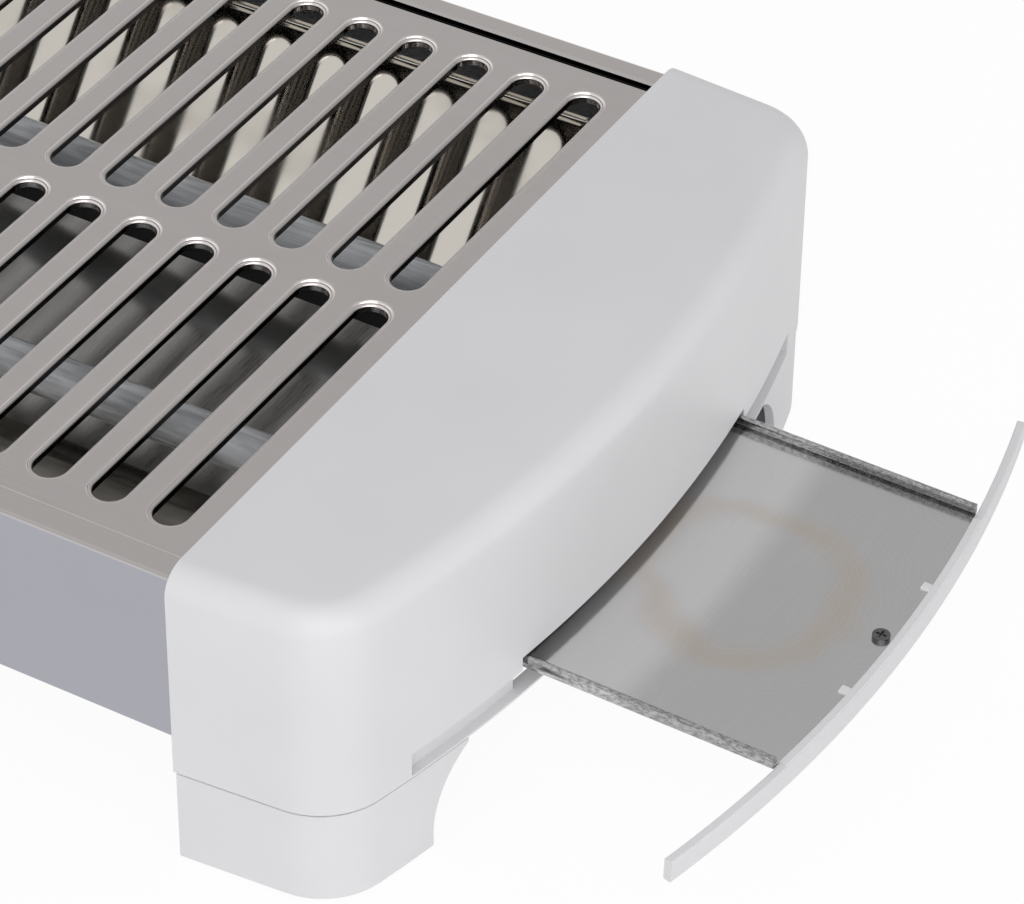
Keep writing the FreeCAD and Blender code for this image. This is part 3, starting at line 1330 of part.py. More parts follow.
def make_everything():
    for side in SIDES:
        make_casing_side(side)
    make_grille_panel()
    make_grille_stiffener()
    for end in ENDS:
        make_end_cap(end)
        for side in SIDES:
            make_foot(end, side)
    make_foot_pads()
    make_base_plate()
    make_crumb_tray()
    make_tray_front_bar()
    make_tray_screw()
    for side in SIDES:
        make_tray_rail(side)
        make_quartz_tube(side)
        make_heating_coil(side)
        make_side_reflector(side)
    make_tube_insulators()
    make_tube_terminals()
    for end in ENDS:
        make_element_bracket(end)
    make_switch_body()
    make_rocker()
    make_pilot_lamp()
    make_switch_terminals()
    make_inlet_bush()
    make_terminal_block()
    make_thermal_fuse()
    make_wires()
    make_screws()
    document.recompute()


def check_document():
    for item in document.Objects:
        if {"Invalid", "Error"} & set(item.State):
            raise RuntimeError("%s is in state %s" % (item.Name, item.State))
    for name, item in pieces.items():
        if item.Label != name:
            raise RuntimeError("%s has the label %s" % (name, item.Label))
        if item.Shape.isNull() or not item.Shape.isValid() or not item.Shape.Solids:
            raise RuntimeError("%s has no valid solid" % name)


def write_pieces():
    os.makedirs("parts", exist_ok=True)
    whole = FreeCAD.BoundBox()
    for name, item in pieces.items():
        item.Shape.exportStep("parts/%s.step" % name)
        whole.add(item.Shape.BoundBox)
        print("%-28s solids %2d  volume %10.1f" % (name, len(item.Shape.Solids), item.Shape.Volume))
    print("pieces", len(pieces))
    print("x %.3f %.3f  y %.3f %.3f  z %.3f %.3f"
          % (whole.XMin, whole.XMax, whole.YMin, whole.YMax, whole.ZMin, whole.ZMax))


make_everything()
check_document()
write_pieces()
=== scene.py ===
"""Finishes and fine surfaces of a flat toaster with a slotted steel grille, white moulded end
caps and a crumb tray pulled part of the way out."""

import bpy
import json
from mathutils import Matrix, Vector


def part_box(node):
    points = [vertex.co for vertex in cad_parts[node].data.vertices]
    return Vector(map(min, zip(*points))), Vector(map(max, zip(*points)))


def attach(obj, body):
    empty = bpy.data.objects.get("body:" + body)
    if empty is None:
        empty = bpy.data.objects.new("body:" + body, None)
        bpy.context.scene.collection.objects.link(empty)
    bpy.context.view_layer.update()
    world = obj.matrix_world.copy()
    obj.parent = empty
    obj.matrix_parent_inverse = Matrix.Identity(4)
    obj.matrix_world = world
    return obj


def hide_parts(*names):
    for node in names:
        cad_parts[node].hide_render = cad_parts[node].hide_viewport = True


bl_info = {
    "name": "Flat toaster",
    "version": (1, 0, 0),
    "blender": (4, 5, 0),
    "location": "View3D > Sidebar > Toaster",
    "description": "Builds the surfaces, finishes and studio of a flat toaster round its frame",
    "category": "Object",
}

import json
import math
from types import SimpleNamespace

import bmesh
import bpy
import numpy as np
from bpy.props import FloatProperty, FloatVectorProperty, PointerProperty
from mathutils import Matrix, Vector

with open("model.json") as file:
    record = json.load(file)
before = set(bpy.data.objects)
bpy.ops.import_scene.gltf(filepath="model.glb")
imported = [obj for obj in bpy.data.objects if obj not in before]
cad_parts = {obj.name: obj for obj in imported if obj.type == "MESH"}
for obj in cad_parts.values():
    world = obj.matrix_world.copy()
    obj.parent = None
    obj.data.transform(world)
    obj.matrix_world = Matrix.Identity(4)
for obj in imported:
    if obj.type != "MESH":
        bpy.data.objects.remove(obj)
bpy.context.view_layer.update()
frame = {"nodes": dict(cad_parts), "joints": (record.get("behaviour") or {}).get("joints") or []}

MM = 0.001


def node_box(node):
    """The lowest and highest corner of a node, in millimetres."""
    low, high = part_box(node)
    return np.array(low) / MM, np.array(high) / MM


# Places that come from the frame, in millimetres

CAP_LOW, CAP_HIGH = node_box("tray_end_cap")
PANEL_LOW, PANEL_HIGH = node_box("grille_panel")
SIDE_LOW, SIDE_HIGH = node_box("casing_side_far")
BAR_HIGH = node_box("tray_front_bar")[1]
TUBE_LOW, TUBE_HIGH = node_box("quartz_tube_far")
REFLECTOR_LOW, REFLECTOR_HIGH = node_box("side_reflector_far")
FOOT_LOW = node_box("tray_end_foot_far")[0]
SLIDE = next(joint for joint in frame["joints"] if joint["type"] == "slide")

CENTRE_X = (PANEL_LOW[0] + PANEL_HIGH[0]) / 2
PANEL_TUCK = 8.0
JOINT_X = PANEL_HIGH[0] - PANEL_TUCK
HALF_CASING = JOINT_X - CENTRE_X
TILT = math.atan2(-SLIDE["axis"][2], SLIDE["axis"][0])
TRAY_FLOOR_TOP = 33.45
TRAY_PULLED = -SLIDE["range_m"][0] / MM
TRAY_ORIGIN = np.array([BAR_HIGH[0], 0.0, TRAY_FLOOR_TOP - TRAY_PULLED * math.sin(TILT)])
BAR_TOP = 33.0 - TRAY_FLOOR_TOP

# Shapes that the moulds and press tools fix: lengths in millimetres, the taper in radians

CAP_TAPER = math.radians(4.4)
CAP_CORNER = 18.4
CAP_FACE_RADIUS = 373.6
CAP_REACH = 56.2
CAP_WALL = 4.17
CAP_ROOF = 2.9
RECESS = {"low": 26.95, "top": 33.35, "half_length": 87.8, "depth": 2.45}
MOUTH = {"half_width": 51.85, "top": 37.1}
SLOT_PITCH = 15.81
SLOT_INNER = 4.17
SLOT_OUTER = 93.8
SLOTS_PER_ROW = 17
SHEET = 0.8
FAR_RIM = 6.0
LEDGE = 5.0
FOOT_ARCH = {"radius": 22.65, "leg_y": 80.8, "leg_z": 5.0, "drop_y": 69.5, "drop_z": 24.6}
TRAY_HALF = 50.7
TRAY_LENGTH = 289.0
BAR_THICK = 2.15
REFLECTOR_FOLDS = {"thin": 0.6, "ledge": 2.9, "upstand": 9.4}

# Ring of heat tint on the tray at rest, in millimetres, and the scale that makes a pattern ignore height

STAIN = {"centre": (192.0, 1.0, 0.0), "radius": 26.0, "width": 6.8, "bend": 20.0}
FLATTEN = (1.0, 1.0, 0.0)


# What a user would change

def length(name, millimetres, words):
    return FloatProperty(name=name, description=words, default=millimetres * MM, min=0.0,
                         precision=5, unit="LENGTH", subtype="DISTANCE")


def factor(name, value, words):
    return FloatProperty(name=name, description=words, default=value, min=0.0, max=1.0, subtype="FACTOR")


def linear(hex_colour):
    """An sRGB colour written as six hex digits, as linear red, green and blue."""
    channels = [int(hex_colour[place:place + 2], 16) / 255 for place in (0, 2, 4)]
    return tuple(c / 12.92 if c <= 0.04045 else ((c + 0.055) / 1.055) ** 2.4 for c in channels)


def tint(name, hex_colour, words):
    return FloatVectorProperty(name=name, description=words, default=linear(hex_colour), size=3,
                               min=0.0, max=1.0, subtype="COLOR")


class ToasterSizes(bpy.types.PropertyGroup):
    """Lengths of the finer shapes."""

    cap_round: length("Cap edge round", 6.5, "Radius of the moulded caps' top edge")
    cap_crease: length("Cap crease", 0.35, "Round of the caps' sharper edges")
    rim_bend: length("Rim bend", 0.9, "Outer radius where the casing's wall turns into its rim")
    slot_width: length("Slot width", 8.24, "Clear width of one slot of the grille")
    slot_roll: length("Slot roll", 1.5, "Width of the stepped and rolled edge of each slot")
    collar_depth: length("Collar depth", 2.6, "How far each slot's edge is drawn down")
    hem_height: length("Tray hem height", 2.3, "Height of the folded edge of the crumb tray")
    hem_width: length("Tray hem width", 1.6, "Width of the folded edge of the crumb tray")
    bar_round: length("Bar round", 0.4, "Round of the front bar's long edges")


class ToasterColours(bpy.types.PropertyGroup):
    """Colours of the finishes."""

    casing_steel: tint("Casing steel", "A9A9B1", "Satin stainless sheet of the casing's walls")
    grille_steel: tint("Grille steel", "CBC6C4", "Satin stainless sheet of the grille and rims")
    tray_steel: tint("Tray steel", "C9C9C9", "Bare sheet of the crumb tray")
    tray_stain: tint("Heat stain", "CDB9A2", "Straw tint that heat leaves on the crumb tray")
    reflector: tint("Reflector", "E6E1D8", "Polished sheet of the reflectors")
    plated: tint("Plated steel", "85868A", "Zinc-coated sheet of the base and brackets")
    plastic: tint("White plastic", "DCDCDE", "Moulded caps, feet and tray front")
    quartz: tint("Quartz", "BFC1C5", "Milky satin heating tubes")
    rubber: tint("Rubber", "2A2A2B", "Pads under the feet")
    rocker: tint("Rocker", "B3140F", "Translucent rocker of the switch")
    stain_strength: factor("Stain strength", 0.46, "How strongly the heat stains show")


def sizes():
    """The user's sizes, in millimetres."""
    group = bpy.context.scene.toaster_sizes
    return SimpleNamespace(**{name: getattr(group, name) / MM for name in group.__annotations__})


def colours():
    """The user's colours, in linear red, green and blue."""
    return bpy.context.scene.toaster_colours


# Mesh tools: every shape is whole arrays of points in millimetres

def grid_quads(rows, columns, close_rows=False, close_columns=False, first=0):
    """Corner numbers of the quads of a grid of points that is stored row by row."""
    index = np.arange(rows * columns).reshape(rows, columns) + first
    if close_rows:
        index = np.concatenate([index, index[:1]], axis=0)
    if close_columns:
        index = np.concatenate([index, index[:, :1]], axis=1)
    corners = (index[:-1, :-1], index[1:, :-1], index[1:, 1:], index[:-1, 1:])
    return np.stack([corner.ravel() for corner in corners], axis=1)


class Surface:
    """Collects points and faces of one piece."""

    def __init__(self):
        self.points = []
        self.faces = []
        self.count = 0

    def add(self, points, faces):
        points = np.asarray(points, float).reshape(-1, 3)
        self.points.append(points)
        self.faces.extend((np.asarray(face) + self.count).tolist() for face in faces)
        self.count += len(points)
        return self

    def grid(self, points, close_rows=False, close_columns=False):
        rows, columns = points.shape[:2]
        return self.add(points, grid_quads(rows, columns, close_rows, close_columns))

    def tube(self, points):
        """Closed sections, one per row of the array, joined into a tube with flat ends."""
        rows, columns = points.shape[:2]
        ends = [np.arange(columns), np.arange(columns) + (rows - 1) * columns]
        return self.add(points, list(grid_quads(rows, columns, close_columns=True)) + ends)

    def ring(self, points):
        """Closed sections carried round until they meet the first again."""
        return self.grid(points, close_rows=True, close_columns=True)

    def lattice(self, points, solid):
        """Outer faces of the filled cells of a bent lattice of points."""
        index = np.arange(points[..., 0].size).reshape(points.shape[:3])
        padded = np.pad(solid, 1)
        quads = []
        for axis in range(3):
            others = [other for other in range(3) if other != axis]
            inside = [slice(1, -1)] * 3
            inside[axis] = slice(None)
            cells = padded[tuple(inside)].astype(int)
            shown = np.nonzero(np.diff(cells, axis=axis))
            corners = []
            for step in ((0, 0), (1, 0), (1, 1), (0, 1)):
                place = list(shown)
                for other, offset in zip(others, step):
                    place[other] = place[other] + offset
                corners.append(index[tuple(place)])
            quads.append(np.stack(corners, axis=1))
        return self.add(points, np.concatenate(quads))

    def box(self, low, high):
        low, high = np.asarray(low, float), np.asarray(high, float)
        axes = [np.array([low[axis], high[axis]]) for axis in range(3)]
        points = np.stack(np.meshgrid(*axes, indexing="ij"), axis=-1)
        return self.lattice(points, np.ones((1, 1, 1), bool))

    def moved(self, change):
        self.points = [change(points) for points in self.points]
        return self


def make_piece(name, surface, body, material, replaces=(), bevel=0.0, sharp=35.0):
    """Turns a surface into an object on its body: doubles merged, faces out, edges eased."""
    mesh = bpy.data.meshes.new(name)
    points = np.concatenate(surface.points) * MM
    mesh.from_pydata(points, [], surface.faces)
    work = bmesh.new()
    work.from_mesh(mesh)
    bmesh.ops.remove_doubles(work, verts=work.verts, dist=2e-6)
    bmesh.ops.dissolve_degenerate(work, edges=work.edges, dist=1e-6)
    bmesh.ops.recalc_face_normals(work, faces=work.faces)
    work.to_mesh(mesh)
    work.free()
    return place_piece(name, mesh, body, material, replaces, bevel, sharp)


def place_piece(name, mesh, body, material, replaces=(), bevel=0.0, sharp=35.0):
    """Puts a mesh in the scene on its body, smooth but for edges sharper than the angle, or eased."""
    mesh.polygons.foreach_set("use_smooth", np.ones(len(mesh.polygons), bool))
    piece = bpy.data.objects.new(name, mesh)
    bpy.context.scene.collection.objects.link(piece)
    if bevel:
        ease = piece.modifiers.new("eased edges", "BEVEL")
        ease.width = bevel * MM
        ease.segments = 2
        ease.limit_method = "ANGLE"
        ease.angle_limit = math.radians(sharp)
        ease.harden_normals = True
    else:
        mesh.set_sharp_from_angle(angle=math.radians(sharp))
    mesh.materials.append(material)
    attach(piece, body)
    if replaces:
        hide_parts(*replaces)
    return piece


def smooth_copy(node, body, material, sharp=30.0, bevel=0.0):
    """A node's own mesh with its loose triangles joined, so that its round faces shade smoothly."""
    mesh = frame["nodes"][node].data.copy()
    mesh.materials.clear()
    work = bmesh.new()
    work.from_mesh(mesh)
    bmesh.ops.remove_doubles(work, verts=work.verts, dist=1e-6)
    bmesh.ops.dissolve_limit(work, angle_limit=math.radians(0.5), verts=work.verts, edges=work.edges)
    work.to_mesh(mesh)
    work.free()
    return place_piece("%s_surface" % node, mesh, body, material, (node,), bevel, sharp)


def arc_points(centre, radius, start, end, steps):
    """Points on a circle between two angles in degrees, both ends included."""
    angles = np.radians(np.linspace(start, end, steps + 1))
    return np.stack([centre[0] + radius * np.cos(angles), centre[1] + radius * np.sin(angles)], axis=1)


def rounded_outline(corners, radii, steps=5, support=0.06):
    """A closed outline whose corners are arcs tangent to both edges; a radius of 0 stays sharp.
    Where an edge is long enough, a support point beside the arc keeps the flat face's shading flat."""
    corners = np.asarray(corners, float)
    before = np.roll(corners, 1, axis=0) - corners
    after = np.roll(corners, -1, axis=0) - corners
    room_before = np.linalg.norm(before, axis=1)
    room_after = np.linalg.norm(after, axis=1)
    before /= room_before[:, None]
    after /= room_after[:, None]
    halves = np.arccos(np.clip(np.sum(before * after, axis=1), -1, 1)) / 2
    setbacks = np.asarray(radii, float) / np.tan(halves)
    room_before -= setbacks + np.roll(setbacks, 1)
    room_after -= setbacks + np.roll(setbacks, -1)
    outline = []
    for number, radius in enumerate(radii):
        corner, back, ahead = corners[number], before[number], after[number]
        if radius <= 0:
            outline.append(corner[None])
            continue
        setback = setbacks[number]
        middle = corner + (back + ahead) / np.linalg.norm(back + ahead) * radius / math.sin(halves[number])
        first = corner + back * setback - middle
        last = corner + ahead * setback - middle
        share = np.linspace(0, 1, steps + 1)[:, None]
        swing = math.acos(float(np.clip(first @ last / radius ** 2, -1, 1)))
        blend = (np.sin((1 - share) * swing) * first + np.sin(share * swing) * last) / math.sin(swing)
        if room_before[number] > 4 * support:
            outline.append((corner + back * (setback + support))[None])
        outline.append(middle + blend)
        if room_after[number] > 4 * support:
            outline.append((corner + ahead * (setback + support))[None])
    return np.concatenate(outline)


def extruded(outline, x_low, x_high, steps=1):
    """A closed (y, z) outline carried straight along X."""
    x = np.linspace(x_low, x_high, steps + 1)
    points = np.empty((len(x), len(outline), 3))
    points[..., 0] = x[:, None]
    points[..., 1:] = outline[None]
    return points


def turned(profile, axis_point, direction, steps=48):
    """A closed (along, radius) profile turned round a line through axis_point: each point is
    axis_point + along * direction + radius * (cos a * side + sin a * other side)."""
    direction = np.asarray(direction, float) / np.linalg.norm(direction)
    side = np.cross(direction, [0.0, 0.0, 1.0] if abs(direction[2]) < 0.9 else [1.0, 0.0, 0.0])
    side /= np.linalg.norm(side)
    other = np.cross(direction, side)
    angles = np.linspace(0, 2 * math.pi, steps, endpoint=False)
    spokes = np.cos(angles)[:, None] * side + np.sin(angles)[:, None] * other
    profile = np.asarray(profile, float)
    return (np.asarray(axis_point, float) + profile[None, :, :1] * direction
            + profile[None, :, 1:] * spokes[:, None, :])


def unchanged(points):
    return points


def mirrored_y(points):
    return points * [1.0, -1.0, 1.0]


def tray_to_world(points):
    """From the tray's own level frame to its place: tilted about Y and drawn out."""
    x, y, z = points[..., 0], points[..., 1], points[..., 2]
    cos, sin = math.cos(TILT), math.sin(TILT)
    return np.stack([x * cos + z * sin, y, -x * sin + z * cos], axis=-1) + TRAY_ORIGIN


# Material tools

WAVE_TURN = math.pi / 10  # metres between the bands of a wave texture whose scale is 1


def add(tree, kind, settings=None, links=None):
    """Adds one node: kind is its type without ShaderNode, settings are its own fields or its inputs'
    values, and links are the inputs that a socket or another node's first output feeds."""
    item = tree.nodes.new("ShaderNode" + kind)
    for key, value in (settings or {}).items():
        if isinstance(key, str) and hasattr(item, key):
            setattr(item, key, value)
        else:
            item.inputs[key].default_value = value
    for key, source in (links or {}).items():
        socket = source if isinstance(source, bpy.types.NodeSocket) else source.outputs[0]
        tree.links.new(socket, item.inputs[key])
    return item


def start_material(name):
    """A material with an empty node tree, and the object's own coordinates."""
    material = bpy.data.materials.new(name)
    material.use_nodes = True
    tree = material.node_tree
    tree.nodes.clear()
    return material, tree, add(tree, "TexCoord").outputs["Object"]


def end_material(tree, settings, links):
    """The surface shader with its constants and what feeds it, joined to the output."""
    shader = add(tree, "BsdfPrincipled", settings, links)
    add(tree, "OutputMaterial", links={"Surface": shader})


def rgba(colour, factor=1.0):
    return tuple(min(1.0, channel * factor) for channel in colour) + (1.0,)


def steel_finish(name, colour, roughness, brushing=(1, 1, 1), spots=0.5, mottling=0.12, bump=0.02,
                 streak=0.22, dress=None):
    """Stainless or plated sheet: rolled grain along one way, soft clouding, fine dark specks.
    The grain gives the eye streaked highlights, the clouding a sheet that isn't new. Dress lays over it what
    is on the sheet and painted light and shade: it takes the tree, the coordinates and the sheet's colour."""
    material, tree, place = start_material(name)
    brushed = add(tree, "Mapping", {"Scale": brushing}, {"Vector": place})
    streaks = add(tree, "TexNoise", {"Scale": 1 / (0.5 * MM), "Detail": 4.0, "Roughness": 0.55},
                  {"Vector": brushed})
    clouds = add(tree, "TexNoise", {"Scale": 1 / (38.0 * MM), "Detail": 3.0, "Roughness": 0.55},
                 {"Vector": place})
    specks = add(tree, "TexNoise", {"Scale": 1 / (0.9 * MM), "Detail": 2.0, "Roughness": 0.7},
                 {"Vector": place})
    cloudy = add(tree, "MapRange", {1: 0.3, 2: 0.72}, {0: clouds})
    dim, bright = rgba(colour, 1.0 - mottling), rgba(colour, 1.0 + mottling)
    sheet = add(tree, "Mix", {"data_type": "RGBA", 6: dim, 7: bright}, {0: cloudy}).outputs[2]
    sheet = add(tree, "Mix", {"data_type": "RGBA", "blend_type": "OVERLAY", 0: streak},
                {6: sheet, 7: streaks}).outputs[2]
    dark = add(tree, "MapRange", {1: 0.7, 2: 0.8, 4: spots}, {0: specks})
    sheet = add(tree, "Mix", {"data_type": "RGBA", 7: rgba(colour, 0.45)}, {0: dark, 6: sheet}).outputs[2]
    if dress:
        sheet = dress(tree, place, sheet)
    rough = add(tree, "MapRange", {1: 0.3, 2: 0.7, 3: roughness * 0.8, 4: roughness * 1.25}, {0: streaks})
    relief = add(tree, "Bump", {"Strength": 0.35, "Distance": bump * MM}, {"Height": streaks})
    end_material(tree, {"Metallic": 1.0}, {"Base Color": sheet, "Roughness": rough, "Normal": relief})
    return material


def moulded_plastic(name, colour, roughness, texture_mm=0.55, bump=0.012, mottling=0.02):
    """Injection-moulded plastic: even colour with a faint flow mottling and a fine spark-eroded
    grain, drawn a little coarser than the real 0.1 mm so that it shows."""
    material, tree, place = start_material(name)
    flow = add(tree, "TexNoise", {"Scale": 1 / (45.0 * MM), "Detail": 2.0, "Roughness": 0.55},
               {"Vector": place})
    skin = add(tree, "TexNoise", {"Scale": 1 / (texture_mm * MM), "Detail": 3.0, "Roughness": 0.55},
               {"Vector": place})
    mottled = add(tree, "MapRange", {1: 0.3, 2: 0.7}, {0: flow})
    dim, bright = rgba(colour, 1.0 - mottling), rgba(colour, 1.0 + mottling)
    shade = add(tree, "Mix", {"data_type": "RGBA", 6: dim, 7: bright}, {0: mottled}).outputs[2]
    rough = add(tree, "MapRange", {1: 0.3, 2: 0.7, 3: roughness * 0.88, 4: roughness * 1.15}, {0: skin})
    relief = add(tree, "Bump", {"Strength": 0.4, "Distance": bump * MM}, {"Height": skin})
    end_material(tree, {"IOR": 1.5}, {"Base Color": shade, "Roughness": rough, "Normal": relief})
    return material


def translucent_finish(name, dim, bright, cloud_mm, smoothest, roughest, settings):
    """Clear plastic or glass: glossy, with a soft cloud that lightens it in places."""
    material, tree, place = start_material(name)
    cloud = add(tree, "TexNoise", {"Scale": 1 / (cloud_mm * MM), "Detail": 2.0, "Roughness": 0.55},
                {"Vector": place})
    shade = add(tree, "Mix", {"data_type": "RGBA", 6: dim, 7: bright}, {0: cloud}).outputs[2]
    rough = add(tree, "MapRange", {3: smoothest, 4: roughest}, {0: cloud})
    end_material(tree, settings, {"Base Color": shade, "Roughness": rough})
    return material


def sleeve_finish(name, main, second):
    """Woven insulating sleeve: slanting bands 1.6 mm apart, about two threads each, give it a dull,
    ribbed look."""
    material, tree, place = start_material(name)
    slanted = add(tree, "Mapping", {"Rotation": (0.6, 0.4, 0.785)}, {"Vector": place})
    weave = add(tree, "TexWave", {"Scale": WAVE_TURN / (1.58 * MM), "Distortion": 1.5},
                {"Vector": slanted}).outputs["Fac"]
    shade = add(tree, "Mix", {"data_type": "RGBA", 6: rgba(main), 7: rgba(second)}, {0: weave}).outputs[2]
    relief = add(tree, "Bump", {"Strength": 0.4, "Distance": 0.05 * MM}, {"Height": weave})
    end_material(tree, {"Roughness": 0.7}, {"Base Color": shade, "Normal": relief})
    return material


MATERIALS = {}


def make_materials():
    """Every finish of the toaster, each named for the real material but the stiffener's, whose near black is
    painted shade. The comments say what the material gives the eye."""
    tints = colours()
    lengthwise, crosswise, spangled = (0.02, 1, 1), (1, 0.05, 1), (0.6, 0.6, 1)
    # stainless sheet rolled satin: a soft even mirror, whose grain only shows from close by; painted shade
    # makes the far gap beside the grille near black
    MATERIALS["casing"] = steel_finish("satin_stainless_wall", tints.casing_steel, 0.17, lengthwise,
                                       0.05, 0.012, 0.0002, 0.012, rim_tone_and_painted_gap_shade)
    # the same sheet, pressed and slotted: satin lands, painted highlights on the rolled edges and painted
    # shade below them
    MATERIALS["grille"] = steel_finish("satin_stainless_grille", tints.grille_steel, 0.18, lengthwise,
                                       0.3, 0.015, 0.0008, 0.03, painted_edge_light_and_shade)
    # bare rolled sheet: smooth satin grey, rolled across the tray, with what crumbs and heat left, a painted
    # reflection outside the mouth and painted shade at it
    MATERIALS["tray"] = steel_finish("heat_stained_tray_sheet", tints.tray_steel, 0.16, crosswise,
                                     0.25, 0.02, 0.0006, 0.04, tray_wear_and_painted_light)
    # zinc-coated sheet of the hidden structure: dull grey with a soft spangle
    MATERIALS["plated"] = steel_finish("galvanised_sheet", tints.plated, 0.45, spangled, 0.6, 0.18)
    # painted shade: a matt near black, nearly without colour, given to the stiffener under the grille's
    # middle where shade falls
    MATERIALS["blackened"] = moulded_plastic("near_black_sheet_for_shade", linear("17171A"), 0.55,
                                             0.4, 0.01, 0.15)
    MATERIALS["reflector"] = reflector_finish()
    # polypropylene from a spark-eroded mould: even white with wide, soft highlights
    MATERIALS["plastic"] = moulded_plastic("moulded_white_polypropylene", tints.plastic, 0.42)
    # moulded rubber: black without gloss
    MATERIALS["rubber"] = moulded_plastic("pressed_black_rubber", tints.rubber, 0.7, 0.8, 0.03, 0.1)
    MATERIALS["quartz"] = quartz_finish()
    # resistance wire under its oxide: dark brownish grey, barely metallic
    MATERIALS["coil"] = steel_finish("oxidised_resistance_wire", linear("4A4642"), 0.5, spots=0.3,
                                     mottling=0.2)
    # pressed and fired steatite: chalky cream, slightly rough
    MATERIALS["ceramic"] = moulded_plastic("unglazed_steatite", linear("D9D3C3"), 0.6, 0.9, 0.03, 0.05)
    # turned brass: warm and bright
    MATERIALS["brass"] = steel_finish("turned_brass", linear("C6A868"), 0.3, spots=0.2, mottling=0.1)
    # black polyamide: deep black with a satin sheen
    MATERIALS["black"] = moulded_plastic("black_polyamide", linear("1B1B1C"), 0.35, 0.5, 0.01, 0.08)
    # lit rocker of clear polycarbonate: deep glossy red
    MATERIALS["rocker"] = translucent_finish(
        "translucent_red_polycarbonate", rgba(tints.rocker, 0.75), rgba(tints.rocker, 1.3), 6.0, 0.14, 0.26,
        {"IOR": 1.58, "Transmission Weight": 0.15, "Coat Weight": 0.3})
    # pad-printed marks: flat white
    MATERIALS["mark"] = moulded_plastic("white_print_on_rocker", linear("EDEDEA"), 0.5)
    # thin clear glass over an orange glow electrode: pale, very glossy
    MATERIALS["lamp"] = translucent_finish(
        "neon_lamp_glass", rgba(linear("B98A70")), rgba(linear("E6D3C6")), 2.5, 0.04, 0.12,
        {"IOR": 1.5, "Transmission Weight": 0.4})
    # natural polyamide of the terminal block: ivory, half matt
    MATERIALS["block"] = moulded_plastic("ivory_polyamide_block", linear("D8D2C0"), 0.45)
    # tinned can of the cut-out: soft silvery grey
    MATERIALS["fuse"] = steel_finish("tinned_can", linear("B9B7B0"), 0.3, spots=0.3, mottling=0.1)
    # glass yarn braided and soaked in silicone: brick red, and green with yellow for the earth
    MATERIALS["sleeve"] = sleeve_finish("braided_silicone_sleeve", linear("8E3F2C"), linear("6E2C1D"))
    MATERIALS["earth"] = sleeve_finish("green_yellow_sleeve", linear("5F9A35"), linear("C9BC3A"))
    # zinc-plated screws: light grey; the tray's is phosphated, darker and duller
    MATERIALS["screw"] = steel_finish("zinc_plated_screw", linear("A9AAA6"), 0.32, spots=0.4, mottling=0.1)
    MATERIALS["black_screw"] = steel_finish("phosphated_steel_screw", linear("6C6C6E"), 0.3, spots=0.4,
                                            mottling=0.1)


def painted_edge_light_and_shade(tree, place, sheet):
    """The slotted sheet's own attribute scales its colour: painted highlights on the rolled edges, painted
    shade in the drawn walls and on the underside."""
    painted_edge_shading = add(tree, "Attribute", {"attribute_name": "painted_edge_shading"}).outputs["Fac"]
    return add(tree, "VectorMath", {"operation": "SCALE"}, {0: sheet, "Scale": painted_edge_shading})


def rim_tone_and_painted_gap_shade(tree, place, sheet):
    """The rim keeps the grille's colour, the wall below it is bluer, and the drop beside the grille at the
    far side is painted near black as the shade in the gap there."""
    steel = colours().grille_steel
    rim_top, ledge_middle = SIDE_HIGH[2], SIDE_HIGH[1] - FAR_RIM - LEDGE / 2
    parts = add(tree, "SeparateXYZ", links={0: place})
    across, height = parts.outputs["Y"], parts.outputs["Z"]
    on_rim = add(tree, "MapRange", {1: (rim_top - 1.1) * MM, 2: (rim_top - 0.25) * MM}, {0: height})
    sheet = add(tree, "Mix", {"data_type": "RGBA", 7: rgba(steel)}, {0: on_rim, 6: sheet}).outputs[2]
    # painted shade: the drop and ledge in the far gap beside the grille, below the rim, are made near black
    over_ledge = add(tree, "Math", {"operation": "COMPARE", 1: ledge_middle * MM, 2: (LEDGE / 2 + 0.15) * MM},
                     {0: across})
    below = add(tree, "Math", {"operation": "LESS_THAN", 1: (rim_top - 0.7) * MM}, {0: height})
    painted_gap_shade = add(tree, "Math", {"operation": "MULTIPLY"}, {0: over_ledge, 1: below})
    return add(tree, "Mix", {"data_type": "RGBA", 7: rgba(steel, 0.03)}, {0: painted_gap_shade, 6: sheet}).outputs[2]


